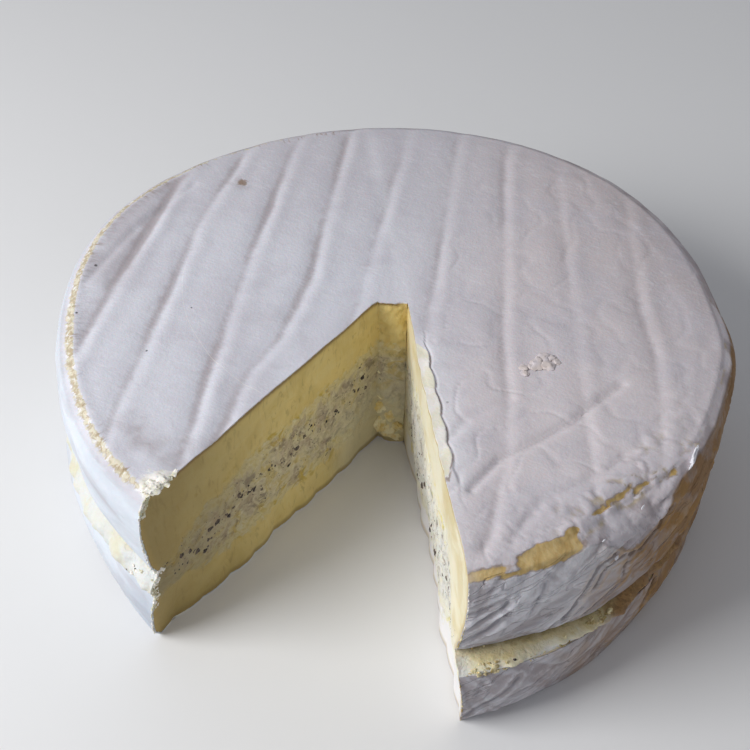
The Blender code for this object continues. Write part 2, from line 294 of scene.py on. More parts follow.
def profile_value(profile, share):
    """The offset of a wall profile at these shares of its height, on a smooth curve."""
    at, offset = np.array(profile).T
    slope = np.gradient(offset, at)
    piece = np.clip(np.searchsorted(at, share, side="right") - 1, 0, len(at) - 2)
    width = at[piece + 1] - at[piece]
    along = np.clip((share - at[piece]) / width, 0.0, 1.0)
    rise = smooth_step(0.0, 1.0, along)
    start = along * (1.0 - along) ** 2 * slope[piece] * width
    end = along**2 * (1.0 - along) * slope[piece + 1] * width
    return offset[piece] * (1.0 - rise) + offset[piece + 1] * rise + start - end


def upper_radius(angle):
    return swelled(UPPER_RADIUS, UPPER_SWELLS, angle)


def lower_radius(angle):
    return swelled(LOWER_RADIUS, LOWER_SWELLS, angle)


def upper_reach(angle, share):
    return upper_radius(angle) + profile_value(UPPER_WALL, share)


def lower_reach(angle, share):
    waves = sum(size * np.sin(count * angle + phase) for count, phase, size in FOOT_WAVES)
    foot = waves * smooth_step(FOOT_SHARE, 0.0, share)
    return lower_radius(angle) + profile_value(LOWER_WALL, share) + foot


def cream_reach(angle, share):
    above = upper_radius(angle) + CREAM_BELOW_UPPER
    below = lower_radius(angle) + CREAM_ABOVE_LOWER
    squeezed = swelled(0.0, CREAM_LUMPS, angle) * np.sin(math.pi * np.minimum(share * 1.1, 1.0))
    return below + (above - below) * share + profile_value(CREAM_WALL, share) + squeezed


def layer_height(x, y, inside, rim, phase):
    """Height of a face of the cream: waved inside, and led to the rim's share of the height."""
    taper = smooth_step(*CREAM_TAPER, np.hypot(x, y) / WHEEL_RADIUS)
    wave = CREAM_WAVE * np.sin(x / CREAM_WAVE_LENGTHS[0] + phase)
    wave = wave * np.cos(y / CREAM_WAVE_LENGTHS[1] + 0.5 * phase)
    return (inside + (rim - inside) * taper) * WHEEL_HEIGHT + wave * (1.0 - taper)


def cream_top(x, y):
    """Height of the face where the upper half meets the cream."""
    inside = CREAM_TOP_INSIDE + CREAM_TOP_RISE * (1.0 - np.hypot(x, y) / WHEEL_RADIUS)
    rim = swelled(CREAM_TOP_RIM, CREAM_TOP_RIM_SWELLS, np.arctan2(y, x))
    return layer_height(x, y, inside, rim, CREAM_TOP_PHASE)


def cream_bottom(x, y):
    """Height of the face where the cream meets the lower half."""
    to_right = smooth_step(*CREAM_RIGHT_X, x) * smooth_step(*CREAM_RIGHT_Y, y)
    inside = CREAM_BOTTOM_INSIDE + (CREAM_BOTTOM_RIGHT - CREAM_BOTTOM_INSIDE) * to_right
    rim = swelled(CREAM_BOTTOM_RIM, CREAM_BOTTOM_RIM_SWELLS, np.arctan2(y, x))
    return layer_height(x, y, inside, rim, CREAM_BOTTOM_PHASE)


def underside(x, y):
    return np.zeros_like(x)


def plain_top(x, y):
    return np.full_like(x, WHEEL_HEIGHT)


def notch_point(angle, distance):
    """Points of a knife plane at these distances from the line where the two planes meet."""
    distance = np.asarray(distance, dtype=float)
    return np.stack(
        (NOTCH_APEX[0] + distance * math.cos(angle), NOTCH_APEX[1] + distance * math.sin(angle)), axis=-1
    )


def rim_distance(angle):
    """Distance from the meeting line to the plain rim circle along a knife plane."""
    along = NOTCH_APEX[0] * math.cos(angle) + NOTCH_APEX[1] * math.sin(angle)
    apex_squared = NOTCH_APEX[0] ** 2 + NOTCH_APEX[1] ** 2
    return -along + math.sqrt(along**2 - apex_squared + WHEEL_RADIUS**2)


def blunt_points(share):
    """Where the spokes at these shares of the way round start on the blunt face."""
    first, last = BLUNT_SPOKES
    along = np.clip((share - first) / (last - first), 0.0, 1.0)[:, None]
    right = notch_point(RIGHT_CUT_ANGLE, BLUNT_RIGHT_BACK)
    left = notch_point(LEFT_CUT_ANGLE, BLUNT_LEFT_BACK)
    point = right + (left - right) * along
    point[:, 1] -= BLUNT_BULGE * np.sin(math.pi * along[:, 0])
    return point


def rim_points(share):
    """Points of the plain rim circle, from the right cut round the back to the left cut."""
    right = notch_point(RIGHT_CUT_ANGLE, rim_distance(RIGHT_CUT_ANGLE))
    left = notch_point(LEFT_CUT_ANGLE, rim_distance(LEFT_CUT_ANGLE))
    start = math.atan2(right[1], right[0])
    end = math.atan2(left[1], left[0]) + 2.0 * math.pi
    angle = start + (end - start) * share
    return WHEEL_RADIUS * np.stack((np.cos(angle), np.sin(angle)), axis=-1)


def wall_points(base, rim, reach, height_share):
    """Where the lines from base to rim leave the wall; reach gives the wall's radius there."""
    way = rim - base
    way /= np.hypot(way[:, 0], way[:, 1])[:, None]
    point = rim.copy()
    for _ in range(3):
        angle = np.arctan2(point[:, 1], point[:, 0])
        length = np.hypot(point[:, 0], point[:, 1])
        outward = point / length[:, None]
        missing = (reach(angle, height_share) - length) / (way * outward).sum(axis=1)
        point = point + way * missing[:, None]
    return point


def cut_place(x, y, cut_angle):
    """Distance of points along a knife plane and away from it."""
    along_x, along_y = math.cos(cut_angle), math.sin(cut_angle)
    from_x, from_y = x - NOTCH_APEX[0], y - NOTCH_APEX[1]
    return from_x * along_x + from_y * along_y, np.abs(from_x * along_y - from_y * along_x)


def knife_shift(cut, turn, along, height):
    """How far a cut face stands off its knife plane."""
    slant = height / KNIFE_SLANT
    shift = sum(
        size * bell(along - middle, reach) * bell(height - level, reach_up)
        for name, middle, level, reach, reach_up, size in KNIFE_SWELLS
        if name == cut
    )
    calm = 1.0 - KNIFE_CALM * smooth_step(*KNIFE_CALM_HEIGHT, height)
    return shift + calm * sum(
        size * np.sin(2.0 * math.pi * along / length + phase * (2.0 - turn) + slant)
        for length, size, phase in KNIFE_WAVES
    )


def into_notch(cut_angle, turn):
    """The direction that points from a cut face into the open notch."""
    return np.array((math.sin(cut_angle) * turn, -math.cos(cut_angle) * turn))


def knife_waved(x, y, height):
    """The points moved off the knife planes by the knife's waves, less the further they lie in."""
    for cut, (cut_angle, turn) in CUTS.items():
        along, away = cut_place(x, y, cut_angle)
        fade = np.exp(-away / KNIFE_FADE) * smooth_step(*KNIFE_BEGIN, along) * (along > 0.0)
        shift = knife_shift(cut, turn, along, height) * fade
        way = into_notch(cut_angle, turn)
        x, y = x + way[0] * shift, y + way[1] * shift
    return x, y


def cloud(points, length, octaves, seed):
    """Noise from about -1 to 1 at the points, in lumps of about this length."""
    shifted = np.asarray(points) / length + np.array((seed, 1.7 * seed, -seed))
    return np.array([noise.fractal(point, 1.0, 2.0, octaves) for point in shifted.tolist()])


def crumbs_of(points, length, seed):
    """Domes from 0 at their edges to about 1 in their middles, packed at about this length."""
    shifted = np.asarray(points) / length + np.array((seed, -seed, 1.3 * seed))
    return np.array([1.0 - noise.voronoi(point)[0][0] for point in shifted.tolist()])


def folds(points, length, width, seed):
    """Thin valley lines, 0 to -1, where a noise changes sign, and the noise itself."""
    field = cloud(points, length, 2, seed)
    return field, -bell(field, width)


def wall_sheet(angle, height, slant):
    """The wall unrolled, turned by the slant and squeezed along it, for creases that run along it."""
    arc = wrapped(angle) * WHEEL_RADIUS
    along = arc * math.cos(slant) + height * math.sin(slant)
    across = height * math.cos(slant) - arc * math.sin(slant)
    return np.stack((along / WALL_STRETCH, across, np.zeros_like(arc)), axis=-1)


def groove_reliefs(x, y):
    """Height of all mat grooves, and how deep each point lies in one, 0 to 1."""
    relief, valley = np.zeros_like(x), np.zeros_like(x)
    for index, (points, depth, lift) in enumerate(MAT_GROOVES):
        at_y, at_x = np.array(points).T
        offset = x - np.interp(y, at_y, at_x)
        wave = np.sin(y / GROOVE_WAVE_LENGTH + GROOVE_PHASE_STEP * index)
        strength = GROOVE_STRENGTH + GROOVE_STRENGTH_WAVE * wave
        depth, lift = depth * strength, lift * strength
        bed = bell(offset, np.where(offset < 0.0, GROOVE_LEFT_SLOPE, GROOVE_RIGHT_SLOPE))
        pillow = bell(offset - PILLOW_OFFSET, PILLOW_HALF_WIDTH)
        relief += GROOVE_SHARE * (lift * pillow - depth * bed)
        line = bell(offset + VALLEY_OFFSET, VALLEY_HALF_WIDTH)
        valley = np.maximum(valley, (0.45 * bed + 0.55 * line) * depth / VALLEY_DEPTH)
    return relief, valley


def line_distance(x, y, points):
    """Distance of points in the plane from a broken line."""
    nearest = np.full_like(x, 1.0)
    for (ax, ay), (bx, by) in zip(points, points[1:]):
        wx, wy = bx - ax, by - ay
        share = np.clip(((x - ax) * wx + (y - ay) * wy) / (wx * wx + wy * wy), 0.0, 1.0)
        nearest = np.minimum(nearest, np.hypot(x - ax - wx * share, y - ay - wy * share))
    return nearest


# Rind torn off along the right rim: middle and reach in degrees, middle and reach in metres of the
# way in over the edge (+) or down the wall (-), and how far its ends drop
TORN_PATCHES = (
    (298.6, 4.0, -0.0024, 0.0017, 0.0006),
    (304.0, 3.2, -0.0044, 0.0012, 0.0000),
    (309.8, 5.6, -0.0022, 0.0044, 0.0000),
    (314.6, 1.6, 0.0016, 0.0022, 0.0000),
    (320.6, 3.0, 0.0032, 0.0009, -0.0008),
    (325.4, 2.4, 0.0030, 0.0010, 0.0006),
    (331.0, 2.2, 0.0022, 0.0008, -0.0008),
    (336.0, 1.5, -0.0006, 0.0008, 0.0008),
)
TORN_METRES_PER_DEGREE = 0.0019
TORN_DEPTH = 0.00035
TORN_EDGE = 0.00035
TORN_RAGGED = 0.0007

# Ochre crumbly band over the edge of the rim: middle, reach in degrees, strength
RIM_BANDS = (
    (220.0, 24.0, 0.80),
    (238.0, 9.0, 0.35),
    (192.0, 16.0, 0.78),
    (170.0, 20.0, 0.70),
    (140.0, 26.0, 0.55),
    (345.0, 16.0, 0.35),
    (70.0, 40.0, 0.20),
)
RIM_BAND_MIDDLE = 0.0004
RIM_BAND_REACH = 0.0016
RIM_BAND_CRUMBS = 0.00040
RIM_BAND_RISE = 0.0001

# How far past the cream's faces the cuts are crumbly, less and less towards the rim
CRUMBLE_ABOVE = 0.0080
CRUMBLE_BELOW = 0.0045
CRUMBLE_TAPER = (0.62, 1.00)
CRUMBLE_BORDER = (-0.0025, 0.0020)
HALF_CRUMBLE = 0.8

# Relief of the cuts: drag marks, grain, crumbs of two sizes and pits
DRAG_RELIEF = 0.00016
CUT_GRAIN = 0.00006
CUT_CRUMBS = 0.00050
CUT_SMALL_CRUMBS = 0.00022
CUT_PITS = 0.00050

# Scallops along the foot of the cuts, and the lip that the knife turned over the right cut's edge
SCALLOP_LENGTH = 0.0112
SCALLOP_SIZE = 0.0008
SCALLOP_HEIGHT = 0.015
SCALLOP_BEGIN = (0.018, 0.034)
LIP_WIDTH = 0.0026
LIP_HEIGHT = 0.00028
LIP_OUT = 0.0009
LIP_ALONG = (0.022, 0.036, 0.078, 0.104)
LIP_SCALLOP = 0.0105
LIP_MARK = 0.0002

# Unevenness of the top, what the right side adds to it, its fine folds and its grain
TOP_UNEVEN = 0.00014
TOP_UNEVEN_RIGHT = 0.00018
TOP_FINE_FOLDS = 0.00022
TOP_GRAIN = 0.00004

# Crumpled rind along the right rim: middle and reach in degrees, how far in it starts and is full,
# and its relief, of the field and of the fold lines
CRUMPLE_ANGLE = 328.0
CRUMPLE_REACH = 22.0
CRUMPLE_INWARD = (0.022, 0.007)
CRUMPLE_ON_TOP = (0.00040, 0.00060)
CRUMPLE_ON_WALL = (0.00035, 0.00055)

# Mound of crumbs at the outer corner of the left cut
CORNER_MOUND = (-0.0438, -0.0866)
CORNER_MOUND_REACH = 0.0040
MOUND_HEIGHT = 0.0011
MOUND_CRUMBS = 0.0018
MOUND_SMALL_CRUMBS = 0.0008

# Marked folds of the right wall: points as angle in degrees and height in millimetres, and depth
WALL_FOLDS = (
    (((295.0, 38.5), (298.3, 44.1), (302.6, 50.9)), 0.75),
    (((295.0, 47.5), (299.2, 50.2), (302.0, 52.6)), 0.55),
    (((295.3, 54.5), (299.9, 57.5)), 0.40),
    (((295.5, 33.5), (299.7, 39.0), (302.8, 46.5)), 0.75),
    (((303.0, 56.5), (301.9, 49.1), (303.4, 41.0)), 0.35),
    (((306.6, 42.0), (307.1, 46.4), (308.3, 53.9)), 0.50),
    (((310.4, 28.5), (312.8, 33.6), (315.5, 37.3)), 0.75),
    (((313.0, 31.0), (314.9, 39.1), (316.4, 44.8), (318.0, 50.8), (321.2, 52.5)), 1.00),
    (((317.5, 29.0), (320.3, 31.2), (323.8, 35.6)), 0.75),
    (((305.5, 30.5), (308.6, 32.0), (310.9, 36.0)), 0.45),
    (((318.1, 40.7), (319.0, 48.6), (322.5, 49.6), (326.5, 47.5), (329.5, 51.4), (333.4, 56.0)), 0.90),
    (((324.3, 36.9), (323.7, 43.9), (324.8, 48.0)), 0.60),
    (((330.0, 34.0), (334.0, 41.0), (339.0, 45.0)), 0.80),
    (((341.0, 33.0), (345.0, 44.0), (347.0, 55.0)), 0.70),
    (((352.0, 36.0), (355.0, 46.0)), 0.60),
    (((296.0, 3.0), (298.0, 9.5), (301.6, 14.0), (304.5, 19.5)), 0.60),
    (((300.5, 5.0), (304.6, 12.0), (309.5, 14.5)), 0.45),
    (((298.0, 17.0), (299.2, 22.5)), 0.35),
    (((307.5, 19.5), (311.0, 21.0), (314.0, 20.0)), 0.40),
    (((312.5, 4.0), (315.0, 10.0), (320.5, 12.0)), 0.45),
    (((325.0, 4.0), (330.0, 12.0), (335.0, 17.0)), 0.80),
    (((338.0, 5.0), (343.0, 12.0), (350.0, 16.0)), 0.70),
)
FOLD_HALF_WIDTH = 0.0009
FOLD_DEPTH = 0.60 * MM

# Dents in the foot of the right wall: middle and reach in degrees, size
FOOT_DENTS = (
    (314.0, 6.0, -0.0010),
    (326.0, 11.0, -0.0021),
    (350.0, 8.0, -0.0013),
)
FOOT_DENT_HEIGHTS = (0.022, 0.006)

# Piece of rind that hangs over the right rim: how many millimetres further down it reaches, its
# reach and middle in degrees, and the heights over which its crumples end
PLATE_DROP = 15.0
PLATE_REACH = 6.5
PLATE_ANGLE = 326.0
PLATE_BOTTOM = (0.042, 0.050)

# Creases of the walls: level ones on the left, and on the right slanted ones and a fan of them
# that spreads from the foot of the right cut
LEFT_WALL_MIDDLE = 205.0
LEFT_WALL_REACH = 62.0
LEFT_WALL_SLANT = math.radians(-4.0)
RIGHT_WALL_SLANT = math.radians(24.0)
FAN_ANGLE = math.radians(293.5)
FAN_HEIGHT = 0.030
FAN_REACH = (0.062, 0.024)
FAN_SPREAD = 0.020
FAN_STRETCH = 0.16
WALL_STRETCH = 4.0

# Relief of the walls' creases and of their valley lines: on the left, and what the right adds
WALL_CREASES = (0.00045, 0.00055)
WALL_LINES = (0.00034, 0.00026)
WALL_UNEVEN = 0.00022
WALL_GRAIN = 0.00006

# Where the cream bulges out of the left seam, in degrees
PUFFED_MIDDLE = 222.0
PUFFED_REACH = 26.0
PUFFED_OUT = 0.0005
PUFFED_LUMPS = 0.0026

# Relief of the squeezed cream: lumps, small lumps, and what stays of the lumps at its borders
SEAM_LUMPS = 0.0022
SEAM_SMALL_LUMPS = 0.0011
SEAM_BORDER = 0.0003

# Smears on the blunt end of the notch, and where the relief of the cuts begins
END_LUMPS = 0.0013
END_OUT = 0.0003
CUT_BEGIN = (0.004, 0.020)


def edge_way(angle, radius, height):
    """The way in over the edge of the top (+) or down the wall (-) from the rim's top corner."""
    inward = upper_reach(angle, np.ones_like(angle)) - radius
    down = WHEEL_HEIGHT - height
    return np.where(down < 0.0008, np.maximum(inward, -down), -1.2 * down)


def torn_distance(angle, way, points):
    """Distance inside (+) or outside (-) the edges of the torn patches."""
    ragged = TORN_RAGGED * cloud(points, 0.0035, 3, 4.0)
    inside = np.full_like(angle, -1.0)
    for middle, reach, at, reach_at, drop in TORN_PATCHES:
        aside = degrees_off(angle, middle) / reach
        off = (way - at - drop * aside**2) / reach_at
        radius = min(reach_at, reach * TORN_METRES_PER_DEGREE)
        inside = np.maximum(inside, (1.0 - np.hypot(aside, off)) * radius)
    return inside + ragged


def rim_stain(angle, way):
    """Strength of the ochre crumbly band, 0 to 1."""
    strength = np.minimum(swelled(0.0, RIM_BANDS, angle), 1.0)
    return strength * bell(way - RIM_BAND_MIDDLE, RIM_BAND_REACH)


def lip_strength(along, away):
    """Where the lip along the right cut is, 0 to 1, with its scalloped outer edge."""
    start, full, fade, end = LIP_ALONG
    here = smooth_step(start, full, along) * smooth_step(end, fade, along)
    width = LIP_WIDTH * (0.80 + 0.28 * np.abs(np.sin(math.pi * along / LIP_SCALLOP)))
    return here, away / width


def top_relief(skin):
    """Relief of the top: mat grooves, creases, rim edge, worn bead, lip, crumpled rind and the mound
    of crumbs; and how deep each point lies in a groove or crease."""
    x, y, points = skin.x, skin.y, skin.points
    from_middle = np.hypot(x, y) / upper_radius(skin.angle)
    inside = 1.0 - smooth_step(EDGE_START, 1.0, from_middle)
    relief = -EDGE_DROP * smooth_step(EDGE_START, EDGE_END, from_middle)
    grooves, valley = groove_reliefs(x + 0.0007 * cloud(points, 0.016, 2, 9.0), y)
    relief += grooves * (0.25 + 0.75 * inside)
    for line, depth in CREASES:
        crease = bell(line_distance(x, y, line), CREASE_HALF_WIDTH) * inside
        relief -= depth * crease
        valley = np.maximum(valley, 450.0 * depth * crease)
    right = smooth_step(-0.012, 0.040, x)
    field, lines = folds(points, 0.017, 0.07, 3.0)
    relief += (TOP_UNEVEN + TOP_UNEVEN_RIGHT * right) * field + TOP_FINE_FOLDS * right * lines
    relief += TOP_GRAIN * cloud(points, 0.0028, 2, 5.0)
    bead = bell(from_middle - BEAD_RADIUS, BEAD_HALF_WIDTH)
    relief += BEAD_HEIGHT * bead * bell(wrapped(skin.angle - BEAD_MIDDLE), BEAD_REACH)
    along, away = cut_place(x, y, RIGHT_CUT_ANGLE)
    here, across = lip_strength(along, away)
    raised = (0.15 + 0.85 * np.clip(across, 0.0, 1.0)) * smooth_step(1.12, 0.98, across)
    relief += here * (LIP_HEIGHT * raised - LIP_MARK * bell(across - 1.2, 0.16))
    crumpled, crumple_field, crumple_lines = crumple(skin.angle, points)
    crumpled = crumpled * smooth_step(*CRUMPLE_INWARD, skin.to_wall)
    relief += crumpled * (CRUMPLE_ON_TOP[0] * crumple_field + CRUMPLE_ON_TOP[1] * crumple_lines)
    mound_x, mound_y = CORNER_MOUND
    mound = bell(np.hypot(x - mound_x, y - mound_y), CORNER_MOUND_REACH)
    relief += mound * (MOUND_HEIGHT + MOUND_CRUMBS * (crumbs_of(points, 0.0027, 41.0) - 0.45))
    relief += MOUND_SMALL_CRUMBS * mound * (crumbs_of(points, 0.0012, 43.0) - 0.5)
    return relief, np.maximum(valley * inside, -0.8 * crumpled * crumple_lines)


def rim_relief(skin):
    """Relief over the rim's edge and the wall: crumbs of the ochre band, and torn rind."""
    crumbs = crumbs_of(skin.points, 0.0021, 2.0)
    relief = skin.stain * (RIM_BAND_CRUMBS * (crumbs - 0.45) + RIM_BAND_RISE)
    return relief - TORN_DEPTH * smooth_step(-TORN_EDGE, TORN_EDGE, skin.torn)


def crumple(angle, points):
    """Small crumpled folds along the right rim: where they are, their field and its valley lines."""
    near = bell(degrees_off(angle, CRUMPLE_ANGLE), CRUMPLE_REACH)
    field, lines = folds(points, 0.0060, 0.16, 31.0)
    return near, field, lines


def marked_folds(angle, height):
    """The marked folds of the wall: 1 in a bed and below 0 on the ridges beside it."""
    arc, total = wrapped(angle) * WHEEL_RADIUS, np.zeros_like(angle)
    for points, depth in WALL_FOLDS:
        line = [(wrapped(math.radians(degrees)) * WHEEL_RADIUS, level * MM) for degrees, level in points]
        away = line_distance(arc, height, line)
        bed, ridge = bell(away, FOLD_HALF_WIDTH), bell(away - 2.2 * FOLD_HALF_WIDTH, FOLD_HALF_WIDTH)
        total += depth * (bed - 0.5 * ridge)
    return total


def wall_relief(skin, height, seed):
    """Relief of a rind wall, and for its paint the valley lines, the creases' field and the folds."""
    angle = skin.angle
    arc = wrapped(angle - FAN_ANGLE) * WHEEL_RADIUS
    rise = height - FAN_HEIGHT
    turn, reach = np.arctan2(rise, arc), np.hypot(arc, rise)
    fan = np.stack((turn * FAN_SPREAD, reach * FAN_STRETCH, np.zeros_like(arc)), axis=-1)
    fanned = smooth_step(*FAN_REACH, reach) * (arc > -0.004)
    fan[:, 0] += 0.0016 * cloud(skin.points, 0.011, 2, seed + 7.0)
    fan_field, fan_lines = folds(fan, 0.0050, 0.20, seed + 5.0)
    slanted = wall_sheet(angle, height, RIGHT_WALL_SLANT)
    slant_field, slant_lines = folds(slanted, 0.0070, 0.18, seed)
    level = wall_sheet(angle, height, LEFT_WALL_SLANT)
    level_field, level_lines = folds(level, 0.0075, 0.07, seed + 2.0)
    left = bell(degrees_off(angle, LEFT_WALL_MIDDLE), LEFT_WALL_REACH)
    right = 1.0 - left
    field = left * level_field + right * (fanned * fan_field + (1.0 - fanned) * slant_field)
    lines = 0.35 * left * level_lines + right * (fanned * fan_lines + (1.0 - fanned) * slant_lines)
    relief = (WALL_CREASES[0] + WALL_CREASES[1] * right) * field
    relief += (WALL_LINES[0] + WALL_LINES[1] * right) * lines
    relief += WALL_UNEVEN * cloud(skin.points, 0.012, 2, seed + 3.0)
    relief += WALL_GRAIN * cloud(skin.points, 0.0026, 2, seed)
    near, small_field, small_lines = crumple(angle, skin.points)
    near = near * smooth_step(*PLATE_BOTTOM, height)
    relief += near * (CRUMPLE_ON_WALL[0] * small_field + CRUMPLE_ON_WALL[1] * small_lines)
    fold = marked_folds(angle, height)
    relief -= FOLD_DEPTH * fold
    relief += swelled(0.0, FOOT_DENTS, angle) * smooth_step(*FOOT_DENT_HEIGHTS, height)
    return relief, -lines, field, fold


def cut_relief(cut, along, height, points, crumbly):
    """How far a cut face stands out: soft drag marks, scallops at its foot, and crumbs of the cream."""
    relief = DRAG_RELIEF * cloud(points, 0.011, 2, 6.0) + CUT_GRAIN * cloud(points, 0.0022, 2, 7.0)
    wander = 0.9 * cloud(points, 0.03, 1, 8.0)
    scallops = np.abs(np.sin(math.pi * along / SCALLOP_LENGTH + wander)) - 0.64
    begin = smooth_step(*SCALLOP_BEGIN, along)
    relief += SCALLOP_SIZE * scallops * smooth_step(SCALLOP_HEIGHT, 0.0, height) * begin
    crumbs = crumbs_of(points, 0.0034, 1.0) - 0.5
    small = crumbs_of(points, 0.0016, 3.0) - 0.5
    pits = smooth_step(0.30, 0.60, cloud(points, 0.0055, 2, 11.0))
    relief += crumbly * (CUT_CRUMBS * crumbs + CUT_SMALL_CRUMBS * small - CUT_PITS * pits)
    if cut == "right":
        here, _ = lip_strength(along, np.zeros_like(along))
        scallop = 0.6 + 0.4 * np.abs(np.sin(math.pi * along / LIP_SCALLOP))
        below = WHEEL_HEIGHT - height
        relief += here * scallop * LIP_OUT * smooth_step(0.0034, 0.0012, below)
    return relief


def filling_depth(x, y, height):
    """How deep points lie in the crumbly filling, which on the cuts reaches past the cream's faces."""
    out = smooth_step(*CRUMBLE_TAPER, np.hypot(x, y) / WHEEL_RADIUS)
    above = cream_top(x, y) + CRUMBLE_ABOVE * (1.0 - out)
    below = cream_bottom(x, y) - CRUMBLE_BELOW * (1.0 - out)
    return np.minimum(above - height, height - below)


def border_crumble(x, y, height):
    """How crumbly a cut face is at this height: fully in the filling, and a little way out of it."""
    return smooth_step(*CRUMBLE_BORDER, filling_depth(x, y, height))


def layer_block(level_cells, hidden_levels):
    """A closed block of cells whose coordinates are shares: X of the way round the wheel, Y of the
    way out along a spoke, Z of the way up. Its ends in X become the two cut faces, with fine cells;
    other layers hide its sides at the hidden levels, which get large ones."""
    mesh = bmesh.new()
    bmesh.ops.create_cube(mesh, size=1.0)
    bmesh.ops.translate(mesh, verts=mesh.verts[:], vec=(0.5, 0.5, 0.5))
    for axis, cells in enumerate((ROUND_CELLS, RIM_CELLS, level_cells)):
        edges = [edge for edge in mesh.edges if edge_reach(edge, axis) > ON_SIDE]
        bmesh.ops.subdivide_edges(mesh, edges=edges, cuts=cells - 1)
    for level in hidden_levels:
        thin_hidden(mesh, level)
    refine_cuts(mesh)
    return mesh


def edge_reach(edge, axis):
    return abs(edge.verts[0].co[axis] - edge.verts[1].co[axis])


def refine_cuts(mesh):
    """Cells of half the size on the two cut faces."""
    edges = [
        edge
        for edge in mesh.edges
        if edge_reach(edge, 0) < ON_SIDE and not ON_SIDE < edge.verts[0].co.x < 1.0 - ON_SIDE
    ]
    bmesh.ops.subdivide_edges(mesh, edges=edges, cuts=1, use_grid_fill=True)


def thin_hidden(mesh, level):
    """Large cells on a side that other layers hide, away from its open rim."""
    edges = []
    for edge in mesh.edges:
        start, end = (vert.co for vert in edge.verts)
        if abs(start.z - level) > ON_SIDE or abs(end.z - level) > ON_SIDE:
            continue
        round_share, ring_share, _ = (start + end) / 2.0
        if not (ON_SIDE < round_share < 1.0 - ON_SIDE and ON_SIDE < ring_share < HIDDEN_OPEN_RIM):
            continue
        if edge_reach(edge, 1) > ON_SIDE:
            kept = round(round_share * ROUND_CELLS) % HIDDEN_ROUND_STEP == 0
        else:
            kept = round(ring_share * RIM_CELLS) % HIDDEN_RING_STEP == 0
        if not kept:
            edges.append(edge)
    bmesh.ops.dissolve_edges(mesh, edges=edges, use_verts=True)


